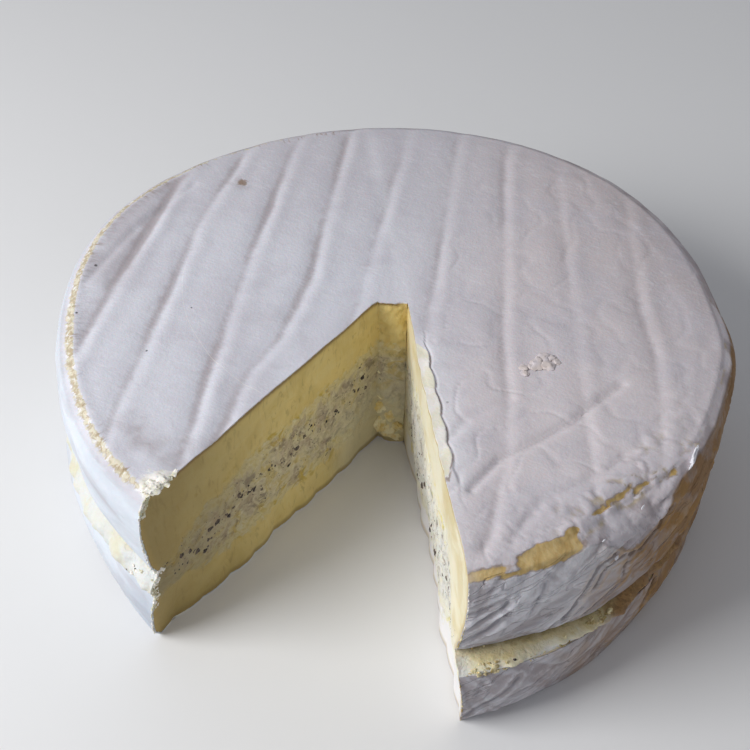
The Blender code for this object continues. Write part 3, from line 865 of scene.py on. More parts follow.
class Skin:
    """A layer's vertices as arrays: where each one lies, and on which sides of the layer."""

    def __init__(self, mesh, reach, bottom, top, level_crowding=1.0):
        shares = np.array([share for vert in mesh.verts for share in vert.co]).reshape(-1, 3)
        round_share, ring_share, level_share = np.clip(shares, 0.0, 1.0).T
        turns = 2.0 * math.pi
        round_share = round_share - ROUND_CROWDING * np.sin(turns * round_share) / turns
        ring_share = 1.0 - (1.0 - ring_share) ** RING_CROWDING
        level_share = 1.0 - (1.0 - level_share) ** level_crowding
        self.on_right = round_share < ON_SIDE
        self.on_left = round_share > 1.0 - ON_SIDE
        self.on_blunt = ring_share < ON_SIDE
        self.on_wall = ring_share > 1.0 - ON_SIDE
        self.on_top = level_share > 1.0 - ON_SIDE
        self.level = level_share
        base = blunt_points(round_share)
        wall = wall_points(base, rim_points(round_share), reach, level_share)
        plan = base + (wall - base) * ring_share[:, None]
        low, high = bottom(plan[:, 0], plan[:, 1]), top(plan[:, 0], plan[:, 1])
        self.z = low + (high - low) * level_share
        self.x, self.y = knife_waved(plan[:, 0], plan[:, 1], self.z)
        self.points = np.stack((self.x, self.y, self.z), axis=1)
        self.angle = np.arctan2(self.y, self.x)
        self.radius = np.hypot(self.x, self.y)
        self.to_wall = reach(self.angle, level_share) - self.radius
        self.values = {
            "under_rind": self.to_wall / MM,
            "fill": filling_depth(self.x, self.y, self.z) / MM,
            "arc": round_share * SWEEP_ANGLE * WHEEL_RADIUS / MM,
        }

    def push(self, where, x, y, z):
        """Moves the vertices that a mask names."""
        self.x = self.x + np.where(where, x, 0.0)
        self.y = self.y + np.where(where, y, 0.0)
        self.z = self.z + np.where(where, z, 0.0)

    def round_rim(self):
        """Turns the square corner between top and wall into a quarter disc."""
        size = swelled(RIM_ROUND, RIM_ROUND_SWELLS, self.angle)
        out = np.clip(1.0 - self.to_wall / size, 0.0, 1.0)
        up = np.clip(1.0 - (WHEEL_HEIGHT - self.z) / size, 0.0, 1.0)
        inward = size * out * (1.0 - np.sqrt(1.0 - up**2 / 2.0))
        down = size * up * (1.0 - np.sqrt(1.0 - out**2 / 2.0))
        self.push(True, -inward * np.cos(self.angle), -inward * np.sin(self.angle), -down)

    def push_top(self, relief):
        """Raises the top, and less and less what lies below it."""
        below = WHEEL_HEIGHT - self.points[:, 2]
        self.push(True, 0.0, 0.0, relief * smooth_step(RELIEF_FADE, 0.0, below))

    def push_wall(self, relief):
        """Moves the wall outwards, and less and less what lies behind it."""
        relief = relief * smooth_step(RELIEF_FADE, 0.0, self.to_wall)
        self.push(True, relief * np.cos(self.angle), relief * np.sin(self.angle), 0.0)

    def push_cuts(self, crumbly):
        for cut, (cut_angle, turn) in CUTS.items():
            on_cut = self.on_left if cut == "left" else self.on_right
            along, _ = cut_place(self.x, self.y, cut_angle)
            relief = cut_relief(cut, along, self.points[:, 2], self.points, crumbly)
            relief = relief * smooth_step(*CUT_BEGIN, along)
            way = into_notch(cut_angle, turn)
            self.push(on_cut, relief * way[0], relief * way[1], 0.0)
        lumps = END_LUMPS * cloud(self.points, 0.0065, 3, 13.0) + END_OUT
        along, _ = cut_place(self.x, self.y, LEFT_CUT_ANGLE)
        near_end = np.exp(-np.maximum(along - BLUNT_LEFT_BACK, 0.0) / END_FADE)
        self.push(self.on_blunt & ~self.on_right, 0.0, -lumps, 0.0)
        self.push(self.on_left & ~self.on_blunt, 0.0, -lumps * near_end, 0.0)

    def give(self, name, mesh, material):
        """The finished piece, with its values as attributes, in the frame of the solids."""
        layers = {key: mesh.verts.layers.float.new(key) for key in self.values}
        places = np.stack((self.x, self.y, self.z), axis=1) + np.array(CENTRING)
        for index, (vert, place) in enumerate(zip(mesh.verts, places.tolist())):
            vert.co = place
            for key, layer in layers.items():
                vert[layer] = self.values[key][index]
        bmesh.ops.remove_doubles(mesh, verts=mesh.verts[:], dist=MERGE_DISTANCE)
        bmesh.ops.recalc_face_normals(mesh, faces=mesh.faces[:])
        return add_piece(name, mesh, material)


def add_piece(name, mesh, material):
    """An object of triangles with this mesh, smooth but for its sharp edges, riding on the wheel."""
    bmesh.ops.triangulate(mesh, faces=mesh.faces[:])
    data = bpy.data.meshes.new(name)
    mesh.to_mesh(data)
    mesh.free()
    data.shade_smooth()
    data.set_sharp_from_angle(angle=SHARP_ANGLE)
    data.materials.append(material)
    piece = bpy.data.objects.new(name, data)
    bpy.context.scene.collection.objects.link(piece)
    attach(piece, BODY)
    return piece


def upper_half(material):
    mesh = layer_block(UPPER_LEVELS, (0.0,))
    skin = Skin(mesh, upper_reach, cream_top, plain_top, LEVEL_CROWDING)
    height = skin.points[:, 2]
    way = edge_way(skin.angle, skin.radius, height)
    skin.round_rim()
    skin.torn = torn_distance(skin.angle, way, skin.points)
    skin.stain = rim_stain(skin.angle, way)
    top, valley = top_relief(skin)
    edge = rim_relief(skin)
    skin.push_top(top + edge)
    creases, crease_valley, ridge, fold = wall_relief(skin, height, 21.0)
    near_edge = smooth_step(0.0, 0.006, WHEEL_HEIGHT - height)
    plate = PLATE_DROP * bell(degrees_off(skin.angle, PLATE_ANGLE), PLATE_REACH)
    skin.push_wall(creases * near_edge + edge)
    skin.push_cuts(HALF_CRUMBLE * border_crumble(skin.x, skin.y, height))
    along, away = cut_place(skin.x, skin.y, RIGHT_CUT_ANGLE)
    here, across = lip_strength(along, away)
    on_wall = skin.on_wall & ~skin.on_top
    skin.values |= {
        "under_rind": np.minimum(WHEEL_HEIGHT - height, skin.to_wall) / MM,
        "torn": skin.torn / MM,
        "stain": skin.stain,
        "valley": np.where(skin.on_top, valley, crease_valley * on_wall),
        "ridge": ridge * on_wall,
        "fold": fold * on_wall,
        "wall": smooth_step(1.0, 4.0, -way / MM - plate),
        "lip": np.minimum(across, 5.0) + 3.0 * (1.0 - here),
        "way": way / MM,
    }
    return skin.give("rind_upper", mesh, material)


def lower_half(material):
    mesh = layer_block(LOWER_LEVELS, (0.0, 1.0))
    skin = Skin(mesh, lower_reach, underside, cream_bottom)
    height = skin.points[:, 2]
    creases, crease_valley, ridge, fold = wall_relief(skin, height, 37.0)
    skin.push_wall(creases * smooth_step(0.0, 0.004, height))
    skin.push_cuts(HALF_CRUMBLE * border_crumble(skin.x, skin.y, height))
    flat = np.zeros_like(height)
    skin.values |= {
        "under_rind": np.minimum(height, skin.to_wall) / MM,
        "torn": flat - 1.0,
        "stain": flat,
        "valley": crease_valley * skin.on_wall,
        "ridge": ridge * skin.on_wall,
        "fold": fold * skin.on_wall,
        "wall": flat + 1.0,
        "lip": flat + 5.0,
        "way": flat - 20.0,
    }
    return skin.give("rind_lower", mesh, material)


def cream_layer(material):
    mesh = layer_block(CREAM_LEVELS, (0.0, 1.0))
    skin = Skin(mesh, cream_reach, cream_bottom, cream_top)
    lumps = crumbs_of(skin.points, 0.0060, 15.0) - 0.5
    small = crumbs_of(skin.points, 0.0024, 17.0) - 0.5
    middle = np.sin(math.pi * skin.level)
    left = bell(degrees_off(skin.angle, PUFFED_MIDDLE), PUFFED_REACH)
    large = crumbs_of(skin.points, 0.0090, 19.0) - 0.5
    puffed = PUFFED_OUT * left + PUFFED_LUMPS * left * large
    grainy = (SEAM_LUMPS * lumps + SEAM_SMALL_LUMPS * small) * (1.0 - 0.5 * left)
    skin.push_wall((grainy + puffed) * middle + SEAM_BORDER * lumps)
    skin.values["level"] = skin.level
    skin.push_cuts(border_crumble(skin.x, skin.y, skin.points[:, 2]))
    return skin.give("cream_layer", mesh, material)


# Marks on the top: small dark specks with their radius, and an arc that a fine scratch follows
DARK_SPECKS = (
    ((-0.0987, -0.0064), 0.0007),
    ((-0.0952, -0.0299), 0.0006),
    ((-0.0675, -0.0401), 0.0005),
    ((-0.0610, -0.0180), 0.0004),
    ((0.0270, -0.0373), 0.0006),
)
HAIRLINE_CENTRE = (-0.0057, 0.0134)
HAIRLINE_RADIUS = 0.0658
# A brown mark, rubbed places with their radius, and the paint of the mound of crumbs
BROWN_MARK = (-0.0668, 0.0489)
RUBBED_PLACES = (
    ((-0.0445, -0.0780), 0.0095),
    ((-0.0540, -0.0745), 0.0085),
    ((-0.0610, -0.0690), 0.0070),
)
MOUND_PAINT = (-0.0440, -0.0902)


def srgb(*screen):
    """Scene colour of an 8-bit screen colour."""
    shares = (value / 255.0 for value in screen)
    return tuple(s / 12.92 if s <= 0.04045 else ((s + 0.055) / 1.055) ** 2.4 for s in shares)


class Wire:
    """A node's output that takes part in plain arithmetic; each operator adds a Math node."""

    def __init__(self, finish, socket):
        self.finish = finish
        self.socket = socket

    def __add__(self, other):
        return self.finish.maths("ADD", self, other)

    def __sub__(self, other):
        return self.finish.maths("SUBTRACT", self, other)

    def __rsub__(self, other):
        return self.finish.maths("SUBTRACT", other, self)

    def __mul__(self, other):
        return self.finish.maths("MULTIPLY", self, other)

    def __abs__(self):
        return self.finish.maths("ABSOLUTE", self)

    __radd__ = __add__
    __rmul__ = __mul__

    def ramp(self, low, high):
        """0 at low, 1 at high, smooth between."""
        values = {"Value": self, "From Min": low, "From Max": high}
        made = self.finish.node("MapRange", {"interpolation_type": "SMOOTHSTEP"}, values)
        return Wire(self.finish, made.outputs[0])

    def coat(self, share, colour):
        """This colour under another one, which the share lets show."""
        return self.finish.blend(share, self, colour)


class Finish:
    """One material's nodes around its Principled shader."""

    def __init__(self, name, **even):
        self.material = bpy.data.materials.new(name)
        self.material.use_nodes = True
        self.tree = self.material.node_tree
        self.shader = self.tree.nodes["Principled BSDF"]
        for socket, value in even.items():
            self.shader.inputs[socket.replace("_", " ")].default_value = value
        self.point = Wire(self, self.node("TexCoord", {}, {}).outputs["Object"])

    def node(self, kind, settings, values):
        """A node of this kind with its settings, then the values or links of its sockets."""
        made = self.tree.nodes.new("ShaderNode" + kind)
        for name, value in settings.items():
            setattr(made, name, value)
        for place, value in values.items():
            if isinstance(value, Wire):
                self.tree.links.new(value.socket, made.inputs[place])
            else:
                made.inputs[place].default_value = value
        return made

    def maths(self, operation, *values):
        made = self.node("Math", {"operation": operation}, dict(enumerate(values)))
        return Wire(self, made.outputs[0])

    def turned(self, degrees, scale):
        """Object coordinates turned about Z and then scaled, for a pattern with a direction."""
        lengths = tuple(1.0 / value for value in scale)
        values = {"Vector": self.point, "Rotation": (0.0, 0.0, math.radians(degrees)), "Scale": lengths}
        return Wire(self, self.node("Mapping", {"vector_type": "TEXTURE"}, values).outputs[0])

    def noise(self, at, scale, detail=3.0, roughness=0.55, distortion=0.0):
        values = {"Vector": at, "Scale": scale, "Detail": detail, "Roughness": roughness}
        made = self.node("TexNoise", {}, values | {"Distortion": distortion})
        return Wire(self, made.outputs["Fac"])

    def cells(self, at, scale):
        """Distance to the nearest seed of a cell pattern, and the cell's random number."""
        made = self.node("TexVoronoi", {}, {"Vector": at, "Scale": scale})
        split = self.node("SeparateColor", {}, {"Color": Wire(self, made.outputs["Color"])})
        return Wire(self, made.outputs["Distance"]), Wire(self, split.outputs[0])

    def joined(self, first, second, third):
        """A pattern's place made from three values."""
        made = self.node("CombineXYZ", {}, {0: first, 1: second, 2: third})
        return Wire(self, made.outputs[0])

    def away(self, place):
        """Distance from a place on the top, seen from above."""
        values = {0: self.point, 1: (1.0, 1.0, 0.0)}
        flat = Wire(self, self.node("VectorMath", {"operation": "MULTIPLY"}, values).outputs[0])
        made = self.node("VectorMath", {"operation": "DISTANCE"}, {0: flat, 1: (*place, 0.0)})
        return Wire(self, made.outputs["Value"])

    def spot(self, place, radius):
        """1 in the middle of a round spot on the top, 0 from its radius on."""
        return self.away(place).ramp(radius, 0.4 * radius)

    def place(self):
        """The three object coordinates."""
        split = self.node("SeparateXYZ", {}, {"Vector": self.point})
        return [Wire(self, output) for output in split.outputs]

    def value(self, attribute):
        made = self.node("Attribute", {"attribute_name": attribute}, {})
        return Wire(self, made.outputs["Fac"])

    def blend(self, share, first, second):
        """The first colour at share 0 and the second at share 1."""
        colours = [c if isinstance(c, Wire) else (*c, 1.0) for c in (first, second)]
        made = self.node("Mix", {"data_type": "RGBA"}, {0: share, 6: colours[0], 7: colours[1]})
        return Wire(self, made.outputs[2])

    def surface(self, colour, roughness, height, distance):
        """Links colour, roughness and the relief height into the shader."""
        bump = self.node("Bump", {}, {"Height": height, "Distance": distance, "Strength": 1.0})
        links = {"Base Color": colour, "Roughness": roughness, "Normal": Wire(self, bump.outputs[0])}
        for place, wire in links.items():
            self.tree.links.new(wire.socket, self.shader.inputs[place])
        return self.material


def specks(finish, scale, size, kept):
    """Round specks of this size in some of the cells."""
    distance, chance = finish.cells(finish.point, scale)
    return distance.ramp(size * scale, 0.55 * size * scale) * chance.ramp(kept, kept - 0.02)


def cut_paint(finish, colours):
    """Colour and relief height of a cut: paste, the filling's crumbly border and its grey middle.
    It reads the depth in the filling, so that it runs on from one layer into the next."""
    point = finish.point
    x, y, z = finish.place()
    # The left cut faces away from the light: its paste, cream, yolk and grey colours are deeper copies
    # of the right cut's, as painted shade
    right = x.ramp(0.0035, 0.0085)
    left = 1.0 - right
    # Painted shade on the left cut, growing towards its outer corner
    shade = y.ramp(-0.020, -0.112) * left * (0.72 + 0.56 * finish.noise(point, 45.0, 2.0, 0.5, 0.4))
    lumps = finish.noise(point, 140.0, 3.0, 0.6, 0.8)
    crumbly = finish.noise(point, 430.0, 3.0, 0.65, 0.6)
    fine = finish.noise(point, 1300.0, 1.0, 0.6)
    broad = finish.noise(point, 60.0, 3.0, 0.55, 0.5)
    depth = finish.value("fill") + 12.0 * (lumps - 0.5) + 7.0 * (crumbly - 0.5)

    paste = finish.blend(right, colours.paste_left, colours.paste_right)
    streak = finish.noise(finish.turned(0.0, (70.0, 70.0, 260.0)), 1.0, 4.0, 0.55, 0.6)
    paste = paste.coat(streak.ramp(0.42, 0.70) * 0.30, colours.paste_pale)
    paste = paste.coat(broad.ramp(0.42, 0.66) * 0.50, colours.paste_deep)
    dragged = finish.noise(finish.turned(0.0, (420.0, 420.0, 130.0)), 1.0, 3.0, 0.65, 0.8)
    paste = paste.coat(dragged.ramp(0.54, 0.70) * 0.34 * left, colours.cut_shade)
    paste = paste.coat(dragged.ramp(0.46, 0.32) * 0.30 * left, colours.paste_pale)
    orange = finish.noise(point, 260.0, 3.0, 0.6, 0.6).ramp(0.62, 0.72) * left
    paste = paste.coat(orange * 0.35, colours.yolk_left)

    paste = paste.coat(right * z.ramp(0.036, 0.016) * 0.85, colours.rind_bloom_and_highlight)
    crumb = finish.blend(right, colours.cream_left, colours.cream_right)
    colour = finish.blend(depth.ramp(-1.2, 1.8), paste, crumb)
    yolk = finish.noise(point, 150.0, 4.0, 0.6, 1.2).ramp(0.54, 0.64)
    yolk = yolk * depth.ramp(-3.0, 0.5) * depth.ramp(9.0, 4.0)
    colour = colour.coat(yolk * 0.85, finish.blend(right, colours.yolk_left, colours.yolk_right))
    core = depth.ramp(3.6, 9.0)
    grey = finish.blend(right, colours.grey_left, colours.grey_right)
    colour = colour.coat(core * (0.60 + 0.40 * lumps.ramp(0.40, 0.60)), grey)
    clouded = lumps + 0.4 * (broad - 0.5)
    mauve = depth.ramp(0.5, 5.0) * clouded.ramp(0.52, 0.66) * left
    colour = colour.coat(mauve * 0.55, colours.smudge_pale)
    golden = depth.ramp(-1.0, 3.0) * clouded.ramp(0.47, 0.36) * left
    colour = colour.coat(golden * 0.45, colours.yolk_left)
    filled = depth.ramp(0.0, 2.0)
    pale = crumbly.ramp(0.54, 0.68) * filled
    colour = colour.coat(pale * 0.60, colours.cream_pale)
    # Painted shade in the small hollows of the crumbly filling
    hollow_shade = crumbly.ramp(0.47, 0.33) * filled
    colour = colour.coat(hollow_shade * 0.50, colours.hollow_shade)

    cluster = finish.noise(point, 150.0, 2.0, 0.5, 0.4).ramp(0.50, 0.62)
    large, small = specks(finish, 520.0, 0.00042, 0.16), specks(finish, 1250.0, 0.00024, 0.14)
    dust = finish.maths("MAXIMUM", large, small)
    inside = depth.ramp(3.0, 6.0)
    smudge = finish.noise(point, 300.0, 4.0, 0.65, 0.8).ramp(0.46, 0.62)
    colour = colour.coat(smudge * inside * (0.12 + 0.50 * cluster), colours.smudge)
    colour = colour.coat(dust * inside * (0.10 + 0.85 * cluster), colours.truffle)
    # Painted shade: the left cut darkened towards its outer corner, in the paste and in the filling
    painted_shade = finish.blend(filled, colours.cut_shade, colours.core_shade)
    colour = colour.coat(shade.ramp(0.0, 1.0) * 0.80, painted_shade)
    # Painted light: the left cut is paler near the notch's end and low down, against the shade deep in
    # the notch
    tip = y.ramp(-0.026, -0.012) * z.ramp(0.040, 0.012) * left
    colour = colour.coat(tip * 0.70, colours.cream_pale)
    height = 0.30 * streak + 0.45 * dragged + filled * (0.75 * crumbly + 0.35 * fine)
    return colour, height


def rind_and_paste(name, colours):
    """White mould rind on the outside; the cut's paint where the layer is cut."""
    finish = Finish(name, Subsurface_Weight=0.05, Subsurface_Scale=0.0015, Specular_IOR_Level=0.35)
    point = finish.point
    x, y, z = finish.place()
    right = x.ramp(-0.015, 0.045)
    depth = finish.value("under_rind")
    way = finish.value("way")
    stain = finish.value("stain")
    arc = finish.value("arc")
    hatch = finish.noise(finish.joined(arc, way * 0.22, z * 260.0), 0.9, 3.0, 0.6)
    fine = finish.noise(point, 1000.0, 2.0, 0.65)
    mottle = finish.noise(point, 38.0, 3.0, 0.6)
    patchy = finish.noise(point, 120.0, 3.0, 0.6, 0.8)
    crumbs = finish.noise(point, 520.0, 2.0, 0.6, 0.3)
    fuzz = finish.noise(finish.turned(-12.0, (300.0, 900.0, 500.0)), 1.0, 3.0, 0.65, 0.5)
    strokes = finish.noise(finish.turned(-16.0, (150.0, 1100.0, 500.0)), 1.0, 3.0, 0.6, 0.3)
    patches, grains = patchy - 0.5, crumbs - 0.5

    rind = finish.blend(right, colours.rind_cool, colours.rind_warm)
    # Painted shade: the rind is darkened towards the back and on the right, where the light falls off
    back_shade = y.ramp(-0.01, 0.10) * 0.40 + x.ramp(0.02, 0.10) * y.ramp(-0.06, 0.05) * 0.45
    rind = rind.coat(back_shade, colours.rind_back_shade)
    rind = rind.coat(mottle.ramp(0.42, 0.66) * 0.45, colours.rind_shade)
    rind = rind.coat(patchy.ramp(0.50, 0.68) * 0.22, colours.rind_shade)
    rind = rind.coat(fuzz.ramp(0.50, 0.72) * 0.18, colours.rind_bloom_and_highlight)
    on_wall = (finish.value("wall") + 0.7 * patches).ramp(0.0, 1.0)
    plate = (1.0 - on_wall) * way.ramp(-1.0, -4.0)
    # The plate that hangs over the right rim is painted darker: patches of the back's painted shade and
    # darker strokes in the crease shade colour
    rind = rind.coat(plate * 0.45 * patchy.ramp(0.40, 0.60), colours.rind_back_shade)
    rind = rind.coat(plate * strokes.ramp(0.52, 0.64) * 0.30, colours.rind_crease_shade)
    right_wall = on_wall * x.ramp(0.0, 0.03)
    left_wall = on_wall * x.ramp(-0.01, -0.04)
    # Painted shade: the front right wall, which the light misses, gets a greyer rind, and the strongly
    # lit left wall gets one a little darker than the top
    rind = rind.coat(right_wall, colours.rind_wall)
    rind = rind.coat(left_wall, colours.rind_left_wall)
    # Blue-grey blotches on the left wall, and a darker foot at its front, near the left cut
    dull = 0.16 * (mottle + 0.5 * patches).ramp(0.44, 0.62)
    dull = dull + 0.75 * y.ramp(-0.086, -0.101) * z.ramp(0.040, 0.010)
    rind = rind.coat(left_wall * dull, colours.rind_dull)
    along, across = 0.913 * arc + 407.0 * z, 913.0 * z - 0.407 * arc
    slanted = finish.noise(finish.joined(along * 0.034, across * 0.15, 0.0), 1.0, 3.0, 0.55, 0.9)
    level = finish.noise(finish.joined(arc * 0.045, 190.0 * z, 4.0), 1.0, 2.0, 0.5, 0.5)
    crease = abs(slanted - 0.5).ramp(0.022, 0.0)
    # Painted light on the front right wall's slanted wrinkles: painted highlights on their ridges,
    # painted shade in their valleys and crease lines
    marked = right_wall * (0.35 + 0.65 * y.ramp(0.04, 0.0))
    rind = rind.coat(marked * slanted.ramp(0.54, 0.68) * 0.45, colours.rind_bloom_and_highlight)
    rind = rind.coat(marked * slanted.ramp(0.46, 0.32) * 0.50, colours.rind_crease_shade)
    rind = rind.coat(marked * crease * 0.40, colours.rind_crease_shade)
    # Painted shade in the valleys of the left wall's soft wrinkles
    rind = rind.coat(left_wall * level.ramp(0.48, 0.36) * 0.22, colours.rind_valley_shade_and_stain)
    fold = finish.value("fold") + 0.4 * grains
    wrinkles = right_wall * (4.5 * slanted - 0.8 * crease - 0.8 * fold) + left_wall * 1.6 * level
    ridge = finish.value("ridge") + 0.5 * patches
    # Painted highlights on the walls' crease ridges and painted shade in their valleys
    rind = rind.coat(ridge.ramp(0.12, 0.50) * 0.18, colours.rind_bloom_and_highlight)
    rind = rind.coat(ridge.ramp(-0.05, -0.45) * 0.16, colours.rind_valley_shade_and_stain)
    # Painted shade in the grooves and creases of the top and along the walls' valley lines; near the
    # right rim it turns ochre in patches
    near_rim = way.ramp(17.0, 9.0) * way.ramp(-1.5, 0.0) * x.ramp(0.055, 0.075) * y.ramp(0.05, 0.0)
    groove = finish.blend(near_rim * patchy.ramp(0.42, 0.56), colours.rind_valley_shade_and_stain, colours.ochre)
    feathered = finish.value("valley") + 0.5 * patches + 0.5 * (strokes - 0.5)
    plain = on_wall * (1.0 - x.ramp(0.0, 0.03) * y.ramp(0.03, -0.01))
    rind = rind.coat(feathered.ramp(0.15, 0.95) * (0.70 - 0.54 * plain), groove)

    # The strip left of the outermost groove is painted darker: mottled painted shade that grows towards
    # the back, with brown-grey strokes towards the rim
    outer = x.ramp(-0.084, -0.090) * way.ramp(1.0, 3.0)
    at_rim = way.ramp(9.0, 2.0)
    darkened = 0.06 + 0.26 * mottle.ramp(0.42, 0.62) + 0.26 * at_rim * hatch.ramp(0.44, 0.60)
    darkened = darkened + 0.22 * y.ramp(0.020, 0.050)
    rind = rind.coat(outer * darkened, colours.rind_valley_shade_and_stain)
    first, second, third = (finish.spot(*rubbed_place) for rubbed_place in RUBBED_PLACES)
    darkened = first + second + 0.7 * third
    darkened = darkened * (0.35 + 0.75 * (mottle + 0.3 * patches).ramp(0.34, 0.66))
    rind = rind.coat(darkened.ramp(0.0, 1.2) * 0.70, colours.rind_valley_shade_and_stain)
    halo = finish.spot(BROWN_MARK, 0.0060) * patchy.ramp(0.40, 0.55)
    rind = rind.coat(halo * 0.35, colours.rind_valley_shade_and_stain)
    brown = (finish.away(BROWN_MARK) + 0.0024 * grains).ramp(0.0022, 0.0011)
    rind = rind.coat(brown * 0.75, colours.torn_edge_and_shadow)
    for place, radius in DARK_SPECKS:
        rind = rind.coat(finish.spot(place, radius) * 0.8, colours.truffle)
    ring = abs(finish.away(HAIRLINE_CENTRE) - HAIRLINE_RADIUS + 0.0016 * (mottle - 0.5))
    hairline = ring.ramp(0.00016, 0.00005) * x.ramp(-0.026, -0.028) * y.ramp(0.004, 0.001)
    rind = rind.coat(hairline * way.ramp(1.0, 2.0) * 0.34, colours.lip)

    # The right wall is painted browner, in patches: painted warm shade, deepest furthest round, with
    # golden patches in it
    warm_shade = x.ramp(0.060, 0.100) * on_wall * y.ramp(0.07, 0.02)
    far = x.ramp(0.085, 0.102)
    browned = 0.40 + 0.35 * far + 0.45 * (patchy + 0.5 * (mottle - 0.5)).ramp(0.38, 0.64)
    rind = rind.coat(warm_shade * browned, colours.rind_brown_shade)
    pale = x.ramp(0.048, 0.062) * x.ramp(0.092, 0.080)
    pale = pale * z.ramp(0.034, 0.046) * right_wall
    rind = rind.coat(pale * (0.30 + 0.35 * patchy.ramp(0.44, 0.60)), colours.rind_bloom_and_highlight)
    gold = finish.noise(point, 70.0, 3.0, 0.55, 0.8).ramp(0.50, 0.64)
    rind = rind.coat(warm_shade * gold * 0.34, colours.rind_gold)
    # Painted shade in the bed of each marked fold, brown on the far right, and painted highlights on the
    # ridges beside it, golden there
    brown_side = x.ramp(0.068, 0.090)
    bed = finish.blend(brown_side, colours.rind_crease_shade, colours.fold_brown_shade)
    rind = rind.coat(fold.ramp(0.16, 0.62) * 0.64, bed)
    crest = finish.blend(brown_side, colours.rind_bloom_and_highlight, colours.rind_gold)
    rind = rind.coat(fold.ramp(-0.08, -0.38) * 0.50, crest)

    # Worn crumbly band on the edge
    worn = stain + 0.9 * (hatch - 0.5) + grains
    ochre = finish.blend(crumbs.ramp(0.42, 0.60), colours.ochre, colours.ochre_pale)
    worn = (worn + 0.8 * patches).ramp(0.36, 0.66)
    rind = rind.coat(worn * 0.75, ochre)
    white = finish.noise(point, 640.0, 2.0, 0.5).ramp(0.57, 0.66) * stain.ramp(0.25, 0.60)
    rind = rind.coat(white * 0.6, colours.rind_bloom_and_highlight)
    lashes = hatch.ramp(0.56, 0.66) * way.ramp(5.0, 1.5) * way.ramp(-1.0, 0.5)
    lashes = lashes * x.ramp(-0.02, -0.05) * patchy.ramp(0.42, 0.55)
    rind = rind.coat(lashes * 0.55, colours.torn_edge_and_shadow)

    whitened = (finish.away(MOUND_PAINT) + 0.006 * grains).ramp(0.0062, 0.0038)
    mass = finish.blend(patchy.ramp(0.44, 0.58), colours.lip, colours.seam_yellow)
    mass = mass.coat(x.ramp(-0.0425, -0.0390) * 0.6, colours.torn_deep)
    rind = rind.coat(whitened * 0.80, mass)

    torn = finish.value("torn") + 0.9 * grains
    edge = torn.ramp(-0.40, -0.05) * patchy.ramp(0.38, 0.52)
    rind = rind.coat(edge * 0.55, colours.torn_edge_and_shadow)
    bare = finish.blend((patchy + 0.3 * (hatch - 0.5)).ramp(0.36, 0.62), colours.torn_deep, colours.torn)
    bare = bare.coat(hatch.ramp(0.54, 0.70) * 0.14, colours.ochre_pale)
    bare = bare.coat(torn.ramp(0.55, 0.10) * 0.40, colours.torn_deep)
    rind = rind.coat(torn.ramp(-0.05, 0.30), bare)
    lip = finish.value("lip") + 0.25 * grains
    rind = rind.coat(lip.ramp(4.9, 1.5) * 0.45, colours.rind_bloom_and_highlight)
    lip_paint = finish.blend(patchy.ramp(0.42, 0.60), colours.paste_right, colours.lip)
    rind = rind.coat(lip.ramp(1.02, 0.92) * 0.92, lip_paint)
    # A brown line along the lip's outer edge: painted shadow in the crease beside the lip
    line = lip.ramp(0.94, 1.04) * lip.ramp(1.32, 1.12)
    rind = rind.coat(line * 0.6 * patchy.ramp(0.38, 0.52), colours.torn_edge_and_shadow)

    paint, cut_height = cut_paint(finish, colours)
    ripe = depth.ramp(3.2, 0.8) * depth.ramp(0.2, 0.5)
    paint = paint.coat(ripe * 0.50, colours.ripe)
    # A thin brown line under the rind along the top of the left cut
    line = (depth + 1.1 * grains).ramp(2.1, 0.9) * z.ramp(0.056, 0.062)
    paint = paint.coat(line * x.ramp(0.004, 0.0) * 0.70, colours.brown_top_line)
    foot = (z + 0.0012 * grains).ramp(0.0034, 0.0010) * x.ramp(0.004, 0.0)
    paint = paint.coat(foot * 0.50, colours.cut_shade)
    cut = (depth + 0.8 * grains).ramp(0.30, 0.55)
    colour = finish.blend(cut, rind, paint)
    relief = 0.25 * fuzz + 0.35 * fine + 0.50 * crumbs * stain + 0.30 * patchy + wrinkles
    height = relief * (1.0 - cut) + cut_height * cut
    roughness = 0.80 - 0.28 * cut + 0.08 * fine
    return finish.surface(colour, roughness, height, 0.00030)


